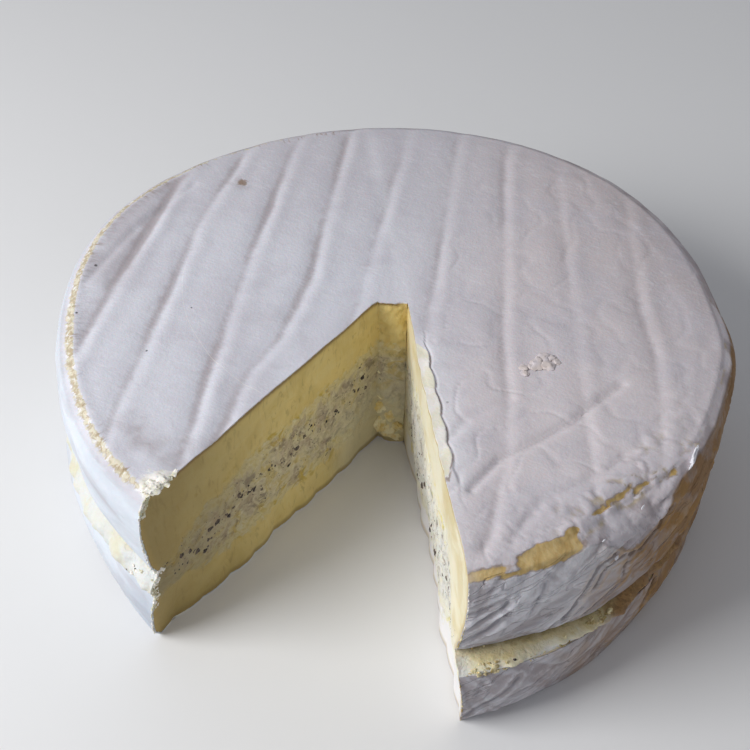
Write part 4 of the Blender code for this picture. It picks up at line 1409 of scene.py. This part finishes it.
def truffle_cream(name, colours):
    """The cut's paint, and on the outer wall pale squeezed-out cream."""
    finish = Finish(name, Subsurface_Weight=0.08, Subsurface_Scale=0.002, Specular_IOR_Level=0.35)
    x, y, _ = finish.place()
    paint, cut_height = cut_paint(finish, colours)
    inside = finish.value("under_rind")
    lumps = finish.noise(finish.point, 130.0, 3.0, 0.5, 0.4)
    crumbs = finish.noise(finish.point, 700.0, 3.0, 0.6)
    squeezed = finish.blend(lumps.ramp(0.34, 0.74) * 0.85, colours.seam_white, colours.seam_yellow)
    shaded = x.ramp(0.020, 0.060)
    squeezed = squeezed.coat(shaded * 0.55, colours.seam_olive)
    level = finish.value("level") + 0.5 * (lumps - 0.5) + 0.3 * (crumbs - 0.5)
    squeezed = squeezed.coat(shaded * level.ramp(0.50, 0.72) * 0.45, colours.yolk_left)
    # Painted shadow at the top of the seam, under the overhang of the upper half's rind
    squeezed = squeezed.coat(shaded * level.ramp(0.76, 0.94) * 0.50, colours.cut_shade)
    squeezed = squeezed.coat(shaded * level.ramp(0.40, 0.16) * 0.55, colours.rind_bloom_and_highlight)
    grey = finish.noise(finish.point, 160.0, 2.0).ramp(0.54, 0.64)
    squeezed = squeezed.coat(grey * 0.35, colours.grey_left)
    # The seam on the far right is painted like the wall there: painted warm shade, and painted shade in
    # its creases
    closed = (x + 0.004 * (lumps - 0.5)).ramp(0.082, 0.088) * y.ramp(0.045, 0.005)
    warm_shade = finish.blend(lumps.ramp(0.40, 0.60) * 0.4, colours.rind_brown_shade, colours.rind_gold)
    squeezed = squeezed.coat(closed * 0.96, warm_shade)
    creased = (crumbs + 0.6 * (lumps - 0.5)).ramp(0.50, 0.60)
    squeezed = squeezed.coat(closed * creased * 0.35, colours.fold_brown_shade)
    colour = finish.blend((inside + 1.2 * (crumbs - 0.5)).ramp(0.3, 1.1), squeezed, paint)
    height = cut_height * (1.0 - 0.4 * shaded) + 0.5 * lumps + 0.5 * crumbs
    return finish.surface(colour, 0.62 + 0.10 * crumbs, height, 0.00035)


def plain_grain(name, first, second, scale, roughness):
    """A small piece's finish: two colours mixed in grains."""
    finish = Finish(name, Specular_IOR_Level=0.35)
    grain = finish.noise(finish.point, scale, 3.0, 0.6)
    colour = finish.blend(grain.ramp(0.35, 0.65), first, second)
    return finish.surface(colour, roughness + 0.1 * grain, grain, 0.0002)


def flake_rind(name, colours):
    """Flakes of rind: the top's own colour on the top, white at the rim."""
    finish = Finish(name, Specular_IOR_Level=0.35)
    x, _, _ = finish.place()
    grain = finish.noise(finish.point, 260.0, 3.0, 0.6)
    warm = finish.blend(grain.ramp(0.38, 0.62) * 0.5, colours.rind_warm, colours.torn_pale)
    colour = finish.blend(x.ramp(0.065, 0.075), warm, colours.rind_bloom_and_highlight)
    return finish.surface(colour, 0.80 + 0.1 * grain, grain, 0.0002)


def crumb_cream(name, colours):
    """Crumbs: white and yellowish ones on the left and the top, ochre ones in the seam on the right."""
    finish = Finish(name, Subsurface_Weight=0.06, Subsurface_Scale=0.0004, Specular_IOR_Level=0.20)
    x, _, z = finish.place()
    grain = finish.noise(finish.point, 300.0, 3.0, 0.6)
    pale = finish.blend(grain.ramp(0.45, 0.62), colours.lip, colours.seam_yellow)
    ochre = finish.blend(grain.ramp(0.38, 0.60), colours.seam_olive, colours.ochre)
    in_seam = x.ramp(0.030, 0.045) * z.ramp(0.045, 0.038)
    return finish.surface(finish.blend(in_seam, pale, ochre), 0.75 + 0.1 * grain, grain, 0.0002)


def cut_surface(cut, along, height):
    """Points of a cut face in the frame of the solids, and the way into the notch."""
    cut_angle, turn = CUTS[cut]
    along, height = np.atleast_1d(along).astype(float), np.atleast_1d(height).astype(float)
    plan = notch_point(cut_angle, along)
    x, y = knife_waved(plan[:, 0], plan[:, 1], height)
    points = np.stack((x, y, height), axis=1)
    relief = cut_relief(cut, along, height, points, border_crumble(x, y, height))
    way = into_notch(cut_angle, turn)
    points[:, 0] += way[0] * relief
    points[:, 1] += way[1] * relief
    return points + np.array(CENTRING), Vector((way[0], way[1], 0.0))


def wall_surface(degrees, height):
    """A point of the outer wall at this angle and height, and the way out of the wall."""
    angle = np.atleast_1d(math.radians(degrees))
    x, y = WHEEL_RADIUS * np.cos(angle), WHEEL_RADIUS * np.sin(angle)
    low, high = cream_bottom(x, y), cream_top(x, y)
    if height > high[0]:
        reach = upper_reach(angle, (height - high) / (WHEEL_HEIGHT - high))
    elif height > low[0]:
        reach = cream_reach(angle, (height - low) / (high - low))
    else:
        reach = lower_reach(angle, height / low)
    outward = Vector((math.cos(angle[0]), math.sin(angle[0]), 0.0))
    return outward * float(reach[0]) + Vector((*CENTRING[:2], height)), outward


def seam_height(degrees, share):
    """Height on the wall at this share of the way up the cream that shows there."""
    angle = math.radians(degrees)
    x, y = np.array([WHEEL_RADIUS * math.cos(angle)]), np.array([WHEEL_RADIUS * math.sin(angle)])
    low, high = cream_bottom(x, y)[0], cream_top(x, y)[0]
    return float(low + share * (high - low))


def cut_corner(cut, height, inward):
    """A point on the upright outer edge of a cut or this far in from it, and the way into the notch."""
    cut_angle, _ = CUTS[cut]
    distance = rim_distance(cut_angle)
    rim = notch_point(cut_angle, distance)
    wall, _ = wall_surface(math.degrees(math.atan2(rim[1], rim[0])), height)
    beyond = math.hypot(wall.x, wall.y - CENTRING[1]) - WHEEL_RADIUS
    points, way = cut_surface(cut, distance + beyond - inward, height)
    return Vector(points[0]), way


def in_notch(x, y):
    """How far a place lies inside the open notch; below zero on the cheese."""
    ways = (into_notch(cut_angle, turn) for cut_angle, turn in CUTS.values())
    return min((x - NOTCH_APEX[0]) * way[0] + (y - NOTCH_APEX[1]) * way[1] for way in ways)


def top_surface(x, y):
    """Height of the top at a place, or None where there is no top."""
    x, y = x - CENTRING[0], y - CENTRING[1]
    angle = np.array([math.atan2(y, x)])
    to_wall = upper_reach(angle, np.ones(1)) - math.hypot(x, y)
    if in_notch(x, y) > 0.0006 or to_wall[0] < 0.0002:
        return None
    size = swelled(RIM_ROUND, RIM_ROUND_SWELLS, angle)
    out = np.clip(1.0 - to_wall / size, 0.0, 1.0)
    return float(WHEEL_HEIGHT - (size * (1.0 - np.sqrt(1.0 - out**2 / 2.0)))[0])


def add_lump(mesh, centre, size, draw, cells, flat, facing, ragged):
    """An irregular lump added to the mesh: an icosphere with uneven corners, squeezed along facing."""
    scale = [size * draw.uniform(0.75, 1.25) for _ in range(3)]
    turn = Matrix.Rotation(draw.uniform(0.0, 2.0 * math.pi), 3, draw_way(draw))
    corners = bmesh.ops.create_icosphere(mesh, subdivisions=cells, radius=1.0)["verts"]
    seed = draw.uniform(0.0, 90.0)
    for vert in corners:
        bump = 1.0 + ragged * noise.fractal(vert.co * 1.6 + Vector((seed, 0.0, 0.0)), 1.0, 2.0, 2)
        vert.co = turn @ Vector([value * length * bump for value, length in zip(vert.co, scale)])
        vert.co -= facing * vert.co.dot(facing) * (1.0 - flat)
        vert.co += Vector(centre)
        vert.co.z = max(vert.co.z, 0.0002)


def draw_way(draw):
    """A random direction."""
    way = Vector([draw.gauss(0.0, 1.0) for _ in range(3)])
    return way.normalized()


# Clusters of larger truffle bits on the left cut: distance along it, height, how many, spread
LEFT_CLUSTERS = (
    (72.0, 33.0, 8, 2.2),
    (33.6, 31.0, 9, 2.0),
    (47.0, 33.5, 7, 2.4),
    (60.0, 30.0, 6, 2.0),
    (39.4, 16.0, 2, 0.8),
    (96.5, 29.3, 9, 2.2),
    (99.5, 24.0, 6, 2.2),
    (88.4, 28.5, 7, 1.8),
    (75.0, 28.5, 6, 2.2),
    (22.5, 42.0, 3, 0.9),
    (57.0, 32.0, 4, 1.8),
    (80.5, 31.0, 5, 2.0),
    (108.0, 27.0, 6, 2.6),
    (113.0, 25.5, 3, 1.0),
    (25.0, 31.0, 6, 3.0),
    (19.0, 35.0, 6, 3.0),
    (66.0, 31.5, 6, 2.6),
)
RIGHT_CLUSTERS = (
    (27.0, 22.0, 4, 2.5),
    (42.0, 22.0, 5, 3.0),
    (47.0, 17.0, 5, 2.5),
    (54.0, 24.0, 5, 2.5),
    (69.0, 18.0, 3, 3.0),
    (77.0, 22.0, 4, 3.0),
    (92.0, 26.0, 4, 3.0),
    (102.0, 20.0, 3, 2.5),
)
SCATTER_BITS = 230
FINE_BIT = 0.0007

# Truffle bits in the seam: angle in degrees, height
SEAM_BITS = (
    (233.3, 21.0),
    (239.3, 28.0),
    (240.6, 26.0),
    (236.9, 24.1),
    (222.0, 22.0),
    (228.5, 19.0),
    (212.0, 21.5),
    (304.0, 26.0),
    (319.0, 22.0),
)


def truffle_bits(count, size, colours):
    """Black truffle bits in both cut faces and in the squeezed cream of the seam."""
    draw = random.Random(11)
    spots = []
    for cut, clusters in (("left", LEFT_CLUSTERS), ("right", RIGHT_CLUSTERS)):
        for along, height, number, spread in clusters:
            for _ in range(number):
                near = (along + draw.gauss(0.0, spread), height + draw.gauss(0.0, 0.6 * spread))
                share = draw.uniform(0.5, 1.0) + 1.3 * draw.random() ** 3
                spots.append((cut, near[0] * MM, near[1] * MM, share))
    for _ in range(count):
        cut = draw.choice(("left", "left", "right"))
        along = draw.uniform(0.016, 0.118)
        height = draw.gauss(0.0305, 0.0042)
        spots.append((cut, along, height, draw.uniform(0.25, 0.7)))
    mesh = bmesh.new()
    for cut in CUTS:
        chosen = [spot for spot in spots if spot[0] == cut]
        points, way = cut_surface(cut, [spot[1] for spot in chosen], [spot[2] for spot in chosen])
        for point, spot in zip(points, chosen):
            radius = 0.5 * size * spot[3]
            centre = Vector(point) - way * radius * 0.30
            add_lump(mesh, centre, radius, draw, 1 + (radius > FINE_BIT), 0.55, way, 0.7)
    for angle, height in SEAM_BITS:
        point, outward = wall_surface(angle, height * MM)
        add_lump(mesh, point, 0.5 * size * draw.uniform(0.6, 1.1), draw, 1, 0.8, outward, 0.5)
    finish = plain_grain("truffle_black", colours.truffle, colours.smudge, 700.0, 0.70)
    piece = add_piece("truffle_bits", mesh, finish)


# Crumbs in the seam: first and last angle, first and last share of the way up it, how many, size
SEAM_CRUMBS = (
    (226.0, 243.5, 0.94, 1.04, 12, 0.6),
    (226.0, 243.5, -0.04, 0.08, 14, 0.6),
    (238.0, 243.8, 0.10, 0.90, 22, 1.2),
    (296.5, 322.0, -0.12, 0.20, 70, 0.7),
    (296.5, 304.0, -0.15, 0.50, 26, 1.3),
    (297.0, 322.0, 0.90, 1.05, 22, 0.7),
    (299.0, 301.5, -0.20, 0.60, 10, 2.1),
    (318.0, 323.0, 0.10, 0.90, 26, 1.7),
    (312.0, 316.0, 0.00, 0.50, 8, 1.3),
)
# Ragged crumbs on the upright outer edge of a cut: first and last height, reach in, how many, size
EDGE_CRUMBS = (
    ("left", 1.0, 18.0, 0.9, 70, 0.42),
    ("left", 17.0, 33.0, 2.4, 80, 0.9),
    ("left", 33.0, 60.0, 0.9, 100, 0.42),
    ("left", 58.0, 64.4, 2.6, 60, 0.9),
    ("right", 30.0, 63.0, 0.7, 50, 0.5),
    ("right", 1.0, 24.0, 0.7, 30, 0.5),
)
# Crumbs on the top: middle, spread, how many, size
TOP_CRUMBS = (
    (-0.0440, -0.0898, 0.0018, 12, 3.0),
    (-0.0405, -0.0868, 0.0010, 6, 2.2),
    (-0.0472, -0.0926, 0.0010, 6, 2.4),
    (-0.0440, -0.0898, 0.0022, 10, 1.0),
)
# Radius from which a crumb gets finer faces
FINE_CRUMB = 0.0006
FINE_TOP_CRUMB = 0.0008
# Thin flakes of rind that stand off the wall and the rim: angle, height, size
RIND_FLAKES = (
    (339.2, 62.6, 2.6),
    (340.1, 63.2, 3.2),
    (341.0, 63.6, 3.4),
    (342.0, 64.0, 2.8),
    (327.0, 63.2, 1.3),
    (318.5, 61.0, 1.2),
    (321.0, 52.0, 1.4),
    (312.0, 33.5, 1.0),
)
# Flat flakes that lie on the top: place and size
TOP_FLAKES = (
    (0.0508, -0.0112, 4.0),
    (0.0536, -0.0106, 3.6),
    (0.0500, -0.0144, 4.4),
    (0.0528, -0.0138, 4.0),
    (0.0554, -0.0116, 2.4),
    (0.0484, -0.0160, 2.4),
    (0.0460, -0.0170, 2.4),
    (0.0469, -0.0193, 2.2),
)
# Lumps of cream that the knife tip left in the notch's end: x, height, size
TIP_LUMPS = (
    (-3.4, 33.0, 1.6),
    (-2.8, 22.0, 2.0),
    (-3.4, 16.0, 2.6),
    (0.2, 13.0, 2.4),
    (-3.8, 7.5, 3.0),
    (-0.6, 5.0, 3.0),
    (2.4, 8.0, 2.4),
    (1.6, 2.8, 2.2),
)


def crumbs(colours):
    """Crumbs of cream and rind along the cut edges, in the seam and on the top."""
    draw = random.Random(23)
    mesh = bmesh.new()
    for first, last, low, high, number, size in SEAM_CRUMBS:
        for _ in range(number):
            degrees = draw.uniform(first, last)
            point, outward = wall_surface(degrees, seam_height(degrees, draw.uniform(low, high)))
            radius = 0.5 * size * MM * draw.uniform(0.5, 1.3)
            cells = 1 + (radius > FINE_CRUMB)
            add_lump(mesh, point - outward * 0.3 * radius, radius, draw, cells, 0.6, outward, 0.8)
    for cut, low, high, reach, number, size in EDGE_CRUMBS:
        for _ in range(number):
            inward = reach * MM * draw.random() ** 2 - 0.0002
            point, way = cut_corner(cut, draw.uniform(low, high) * MM, inward)
            radius = 0.5 * size * MM * draw.uniform(0.5, 1.4)
            centre = point - way * radius * 0.2
            add_lump(mesh, centre, radius, draw, 1 + (radius > FINE_CRUMB), 0.7, way, 0.6)
    for x, y, spread, number, size in TOP_CRUMBS:
        for _ in range(number):
            place_x, place_y = x + draw.gauss(0.0, spread), y + draw.gauss(0.0, spread)
            height = top_surface(place_x, place_y)
            radius = 0.5 * size * MM * draw.uniform(0.5, 1.3)
            if height is None:
                continue
            centre = Vector((place_x, place_y, height + 0.1 * radius))
            add_lump(mesh, centre, radius, draw, 2 + (radius > FINE_TOP_CRUMB), 0.50, UP, 0.7)
    piece = add_piece("cream_crumbs", mesh, crumb_cream("crumb_cream", colours))


def flakes(colours):
    """Thin torn flakes of rind, curled off the wall and the rim."""
    draw = random.Random(31)
    mesh = bmesh.new()
    for degrees, height, size in RIND_FLAKES:
        point, outward = wall_surface(degrees, height * MM)
        facing = (outward + 0.3 * draw_way(draw)).normalized()
        add_lump(mesh, point, 0.5 * size * MM, draw, 3, 0.30, facing, 0.5)
    for x, y, size in TOP_FLAKES:
        centre = Vector((x, y, WHEEL_HEIGHT + 0.0001))
        facing = (UP + 0.16 * draw_way(draw)).normalized()
        radius = 0.5 * size * MM * draw.uniform(0.9, 1.1)
        add_lump(mesh, centre, radius, draw, 3, 0.28, facing, 0.45)
    piece = add_piece("rind_flakes", mesh, flake_rind("flake_rind", colours))


def tip_lumps(colours):
    """Lumps of smeared cream in the blunt end of the notch."""
    draw = random.Random(41)
    mesh = bmesh.new()
    end_y = NOTCH_APEX[1] - BLUNT_RIGHT_BACK * math.cos(NOTCH_HALF_ANGLE) + CENTRING[1]
    for x, height, size in TIP_LUMPS:
        place = Vector((x * MM, end_y - 0.0009, height * MM))
        add_lump(mesh, place, size * MM, draw, 4, 0.75, BACKWARD, 0.38)
    # The lumps' cream colours are brightened against the shade deep in the notch: painted light
    finish = plain_grain("lump_cream", colours.lump_pale, colours.lump_yellow, 260.0, 0.6)
    piece = add_piece("tip_lumps", mesh, finish)


class WheelSizes(bpy.types.PropertyGroup):
    bit_size: FloatProperty(
        name="Truffle Bit Size",
        description="Width of a middling truffle bit",
        default=0.0011,
        min=0.0,
        unit="LENGTH",
    )
    bit_count: IntProperty(
        name="Loose Truffle Bits",
        description="Truffle bits between the clusters on the cut faces",
        default=SCATTER_BITS,
        min=0,
    )


def tint(name, description, *screen):
    """A colour that a user can change; its default is given as an 8-bit screen colour."""
    default = srgb(*screen)
    return FloatVectorProperty(
        name=name, description=description, subtype="COLOR", size=3, min=0.0, max=1.0, default=default
    )


class WheelColours(bpy.types.PropertyGroup):
    rind_cool: tint("Cool Rind", "Rind on the left", 212, 212, 220)
    rind_warm: tint("Warm Rind", "Rind on the right", 214, 206, 209)
    # Painted shade of the rind towards the back and on the right, where the light falls off
    rind_back_shade: tint("Back Rind Shade", "Rind at the back and on the far right", 176, 166, 167)
    # Painted shade: a little darker than the top, against the strong light on the left wall
    rind_left_wall: tint("Left Wall Rind", "Rind of the left wall", 204, 210, 218)
    rind_dull: tint("Dull Left Wall", "Blue-grey blotches of the left wall", 168, 176, 188)
    # Painted shade in the creases and folds of the right wall
    rind_crease_shade: tint("Wall Crease", "Creases of the right wall", 128, 126, 134)
    # Painted shade: greyer rind for the front right wall, which the light misses
    rind_wall: tint("Wall Rind", "Rind of the front right wall", 198, 196, 202)
    rind_shade: tint("Rind Mottle", "Darker mottles of the rind", 194, 190, 198)
    # White mould threads, and also the colour of painted highlights on the walls' wrinkles and folds
    rind_bloom_and_highlight: tint("Rind Bloom and Highlight", "White mould threads", 236, 236, 241)
    # Painted shade in grooves, creases and wall valleys; also darker grey marks and the halo of the
    # brown mark
    rind_valley_shade_and_stain: tint("Groove", "Bottom of grooves and creases", 160, 150, 152)
    # Painted warm shade of the right wall's rind, which the light misses
    rind_brown_shade: tint("Brown Rind Shade", "Rind of the right wall", 152, 120, 86)
    ochre: tint("Ochre Rind", "Worn band over the rim", 170, 150, 100)
    ochre_pale: tint("Pale Ochre Rind", "Pale grains of the worn band", 212, 203, 172)
    torn: tint("Torn Rind", "Paste where the rind is torn off", 206, 180, 126)
    torn_deep: tint("Torn Rind Deep", "Darker parts of torn places", 186, 156, 98)
    torn_pale: tint("Flake Underside", "Underside of loose flakes", 216, 200, 186)
    rind_gold: tint("Golden Rind", "Golden patches of the far right wall", 182, 140, 74)
    # Painted shade in the folds of the far right wall and of the seam there
    fold_brown_shade: tint("Brown Fold", "Folds of the far right wall", 92, 72, 52)
    # Brown edges of torn places and brown marks; also the painted shadow beside the lip
    torn_edge_and_shadow: tint("Torn Edge and Shadow", "Edge of torn places", 134, 106, 76)
    lip: tint("Lip", "Lip that the knife turned over", 244, 240, 232)
    # Painted shade: the left cut's colours are deeper copies of the right cut's
    paste_left: tint("Left Paste", "Paste of the left cut", 226, 204, 134)
    paste_right: tint("Right Paste", "Paste of the right cut", 236, 231, 208)
    paste_pale: tint("Pale Paste", "Pale drag marks", 226, 212, 156)
    paste_deep: tint("Deep Paste", "Deeper tones of the paste", 200, 176, 104)
    brown_top_line: tint("Brown Top Line", "Brown line under the rind of the left cut", 120, 94, 60)
    ripe: tint("Ripe Paste", "Ripe paste just under the rind", 176, 148, 84)
    # Painted shade of the left cut's outer part, in the paste and in the filling
    cut_shade: tint("Dull Cut", "Duller outer part of the left cut", 134, 114, 66)
    core_shade: tint("Dull Filling", "Duller outer part of the filling", 122, 108, 78)
    cream_left: tint("Left Cream", "Cream of the left cut", 216, 202, 152)
    cream_right: tint("Right Cream", "Cream of the right cut", 232, 229, 212)
    cream_pale: tint("Cream Crumbs", "Pale crumbs of the filling", 228, 220, 186)
    # Painted shade in the small hollows of the filling
    hollow_shade: tint("Cream Hollows", "Small hollows of the filling", 150, 136, 96)
    yolk_left: tint("Left Yolk", "Yellow crumbs of the left cut", 196, 168, 66)
    yolk_right: tint("Right Yolk", "Yellow crumbs of the right cut", 232, 220, 140)
    grey_left: tint("Left Grey", "Truffle cream of the left cut", 204, 193, 162)
    grey_right: tint("Right Grey", "Truffle cream of the right cut", 224, 224, 219)
    # Painted light: the lumps' cream brightened against the shade deep in the notch
    lump_pale: tint("Pale Lump", "Cream smeared at the notch's end", 252, 242, 200)
    lump_yellow: tint("Yellow Lump", "Yellower parts of those lumps", 236, 210, 134)
    seam_white: tint("Seam White", "Squeezed-out cream", 212, 214, 212)
    seam_yellow: tint("Seam Yellow", "Yellowish lumps of the seam", 210, 206, 178)
    seam_olive: tint("Seam Shade", "Cream of the seam on the right", 232, 220, 178)
    truffle: tint("Truffle", "Truffle bits", 44, 40, 40)
    smudge_pale: tint("Mauve Filling", "Mauve-brown parts of the filling", 170, 148, 126)
    smudge: tint("Truffle Smudge", "Cream that truffle has coloured", 112, 98, 90)


class StageSettings(bpy.types.PropertyGroup):
    floor: tint("Floor", "Colour of the floor", 228, 228, 228)
    sky: tint("Sky", "Colour of the light from all around", 246, 248, 255)
    sky_strength: FloatProperty(
        name="Sky Strength", description="Brightness of the light from all around", default=0.33, min=0.0
    )
    window_power: FloatProperty(
        name="Window Power", description="Power of the soft light on the left", default=6.4, unit="POWER"
    )
    lens: FloatProperty(
        name="Lens", description="Focal length of the camera in millimetres", default=68.1, unit="CAMERA"
    )


class CHEESE_OT_upper_half(bpy.types.Operator):
    """Make the upper half with its rind, grooves, torn places and cut faces"""

    bl_idname = "cheese.upper_half"
    bl_label = "Upper Half"

    def execute(self, context):
        piece = upper_half(rind_and_paste("upper_rind_and_paste", context.scene.cheese_colours))
        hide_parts("brie_upper")
        return {"FINISHED"}


class CHEESE_OT_cream_layer(bpy.types.Operator):
    """Make the truffle cream that runs through the wheel"""

    bl_idname = "cheese.cream_layer"
    bl_label = "Cream Layer"

    def execute(self, context):
        piece = cream_layer(truffle_cream("truffle_cream", context.scene.cheese_colours))
        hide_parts("truffle_cream")
        return {"FINISHED"}


class CHEESE_OT_lower_half(bpy.types.Operator):
    """Make the lower half with its rind and cut faces"""

    bl_idname = "cheese.lower_half"
    bl_label = "Lower Half"

    def execute(self, context):
        piece = lower_half(rind_and_paste("lower_rind_and_paste", context.scene.cheese_colours))
        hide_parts("brie_lower")
        return {"FINISHED"}


class CHEESE_OT_truffle_bits(bpy.types.Operator):
    """Set truffle bits in the cut faces and the seam"""

    bl_idname = "cheese.truffle_bits"
    bl_label = "Truffle Bits"

    def execute(self, context):
        sizes = context.scene.cheese_sizes
        truffle_bits(sizes.bit_count, sizes.bit_size, context.scene.cheese_colours)
        return {"FINISHED"}


class CHEESE_OT_crumbs(bpy.types.Operator):
    """Set crumbs, flakes of rind and lumps of cream on the edges and in the seam"""

    bl_idname = "cheese.crumbs"
    bl_label = "Crumbs and Flakes"

    def execute(self, context):
        for add in (crumbs, flakes, tip_lumps):
            add(context.scene.cheese_colours)
        return {"FINISHED"}


# The camera as solved from the photo, and the stage around the wheel
CAMERA_PLACE = Vector((0.08123, -0.32900, 0.36579))
CAMERA_TARGET = Vector((-0.01359, 0.03206, 0.0))
CAMERA_ROLL = math.radians(0.50)
FLOOR_SIZE = 3.0
WINDOW_PLACE = Vector((-0.560, -0.385, 0.540))
WINDOW_TARGET = Vector((0.0, 0.0, 0.03))
WINDOW_SIZE = 0.45


def look_from(place, target, roll=0.0):
    turn = (target - place).to_track_quat("-Z", "Y").to_matrix()
    turn = turn @ Matrix.Rotation(roll, 3, "Z")
    return Matrix.Translation(place) @ turn.to_4x4()


class CHEESE_OT_stage(bpy.types.Operator):
    """Set up the floor, the soft light and the camera"""

    bl_idname = "cheese.stage"
    bl_label = "Stage"

    def execute(self, context):
        scene = context.scene
        stage = scene.cheese_stage
        mesh = bmesh.new()
        bmesh.ops.create_grid(mesh, x_segments=8, y_segments=8, size=FLOOR_SIZE)
        data = bpy.data.meshes.new("floor")
        mesh.to_mesh(data)
        mesh.free()
        data.materials.append(plain_grain("floor_paint", stage.floor, stage.floor, 20.0, 0.9))
        floor = bpy.data.objects.new("floor", data)
        scene.collection.objects.link(floor)

        light = bpy.data.lights.new("window", "AREA")
        light.shape = "SQUARE"
        light.size = WINDOW_SIZE
        light.energy = stage.window_power
        window = bpy.data.objects.new("window", light)
        window.matrix_world = look_from(WINDOW_PLACE, WINDOW_TARGET)
        scene.collection.objects.link(window)

        world = bpy.data.worlds.new("sky")
        world.use_nodes = True
        background = world.node_tree.nodes["Background"]
        background.inputs["Color"].default_value = (*stage.sky, 1.0)
        background.inputs["Strength"].default_value = stage.sky_strength
        scene.world = world

        camera = bpy.data.objects.new("camera", bpy.data.cameras.new("camera"))
        camera.data.lens = stage.lens
        camera.data.sensor_width = 36.0
        camera.matrix_world = look_from(CAMERA_PLACE, CAMERA_TARGET, CAMERA_ROLL)
        scene.collection.objects.link(camera)
        scene.camera = camera
        scene.view_settings.view_transform = "Standard"
        return {"FINISHED"}


class CHEESE_PT_panel(bpy.types.Panel):
    """Sizes, colours and pieces of the cheese wheel"""

    bl_idname = "CHEESE_PT_panel"
    bl_label = "Filled Cheese Wheel"
    bl_space_type = "VIEW_3D"
    bl_region_type = "UI"
    bl_category = "Cheese"

    def draw(self, context):
        for group, group_name in GROUPS:
            box = self.layout.box()
            for name in group.__annotations__:
                box.prop(getattr(context.scene, group_name), name)
        for operator in OPERATORS:
            self.layout.operator(operator.bl_idname)


GROUPS = (
    (WheelSizes, "cheese_sizes"),
    (WheelColours, "cheese_colours"),
    (StageSettings, "cheese_stage"),
)
OPERATORS = (
    CHEESE_OT_upper_half,
    CHEESE_OT_cream_layer,
    CHEESE_OT_lower_half,
    CHEESE_OT_truffle_bits,
    CHEESE_OT_crumbs,
    CHEESE_OT_stage,
)


def register():
    for group, name in GROUPS:
        bpy.utils.register_class(group)
        setattr(bpy.types.Scene, name, PointerProperty(type=group))
    for operator in OPERATORS:
        bpy.utils.register_class(operator)
    bpy.utils.register_class(CHEESE_PT_panel)


def unregister():
    bpy.utils.unregister_class(CHEESE_PT_panel)
    for operator in OPERATORS:
        bpy.utils.unregister_class(operator)
    for group, name in GROUPS:
        delattr(bpy.types.Scene, name)
        bpy.utils.unregister_class(group)


def main():
    register()
    bpy.ops.cheese.upper_half()
    bpy.ops.cheese.cream_layer()
    bpy.ops.cheese.lower_half()
    bpy.ops.cheese.truffle_bits()
    bpy.ops.cheese.crumbs()
    bpy.ops.cheese.stage()


if __name__ == "__main__":
    main()
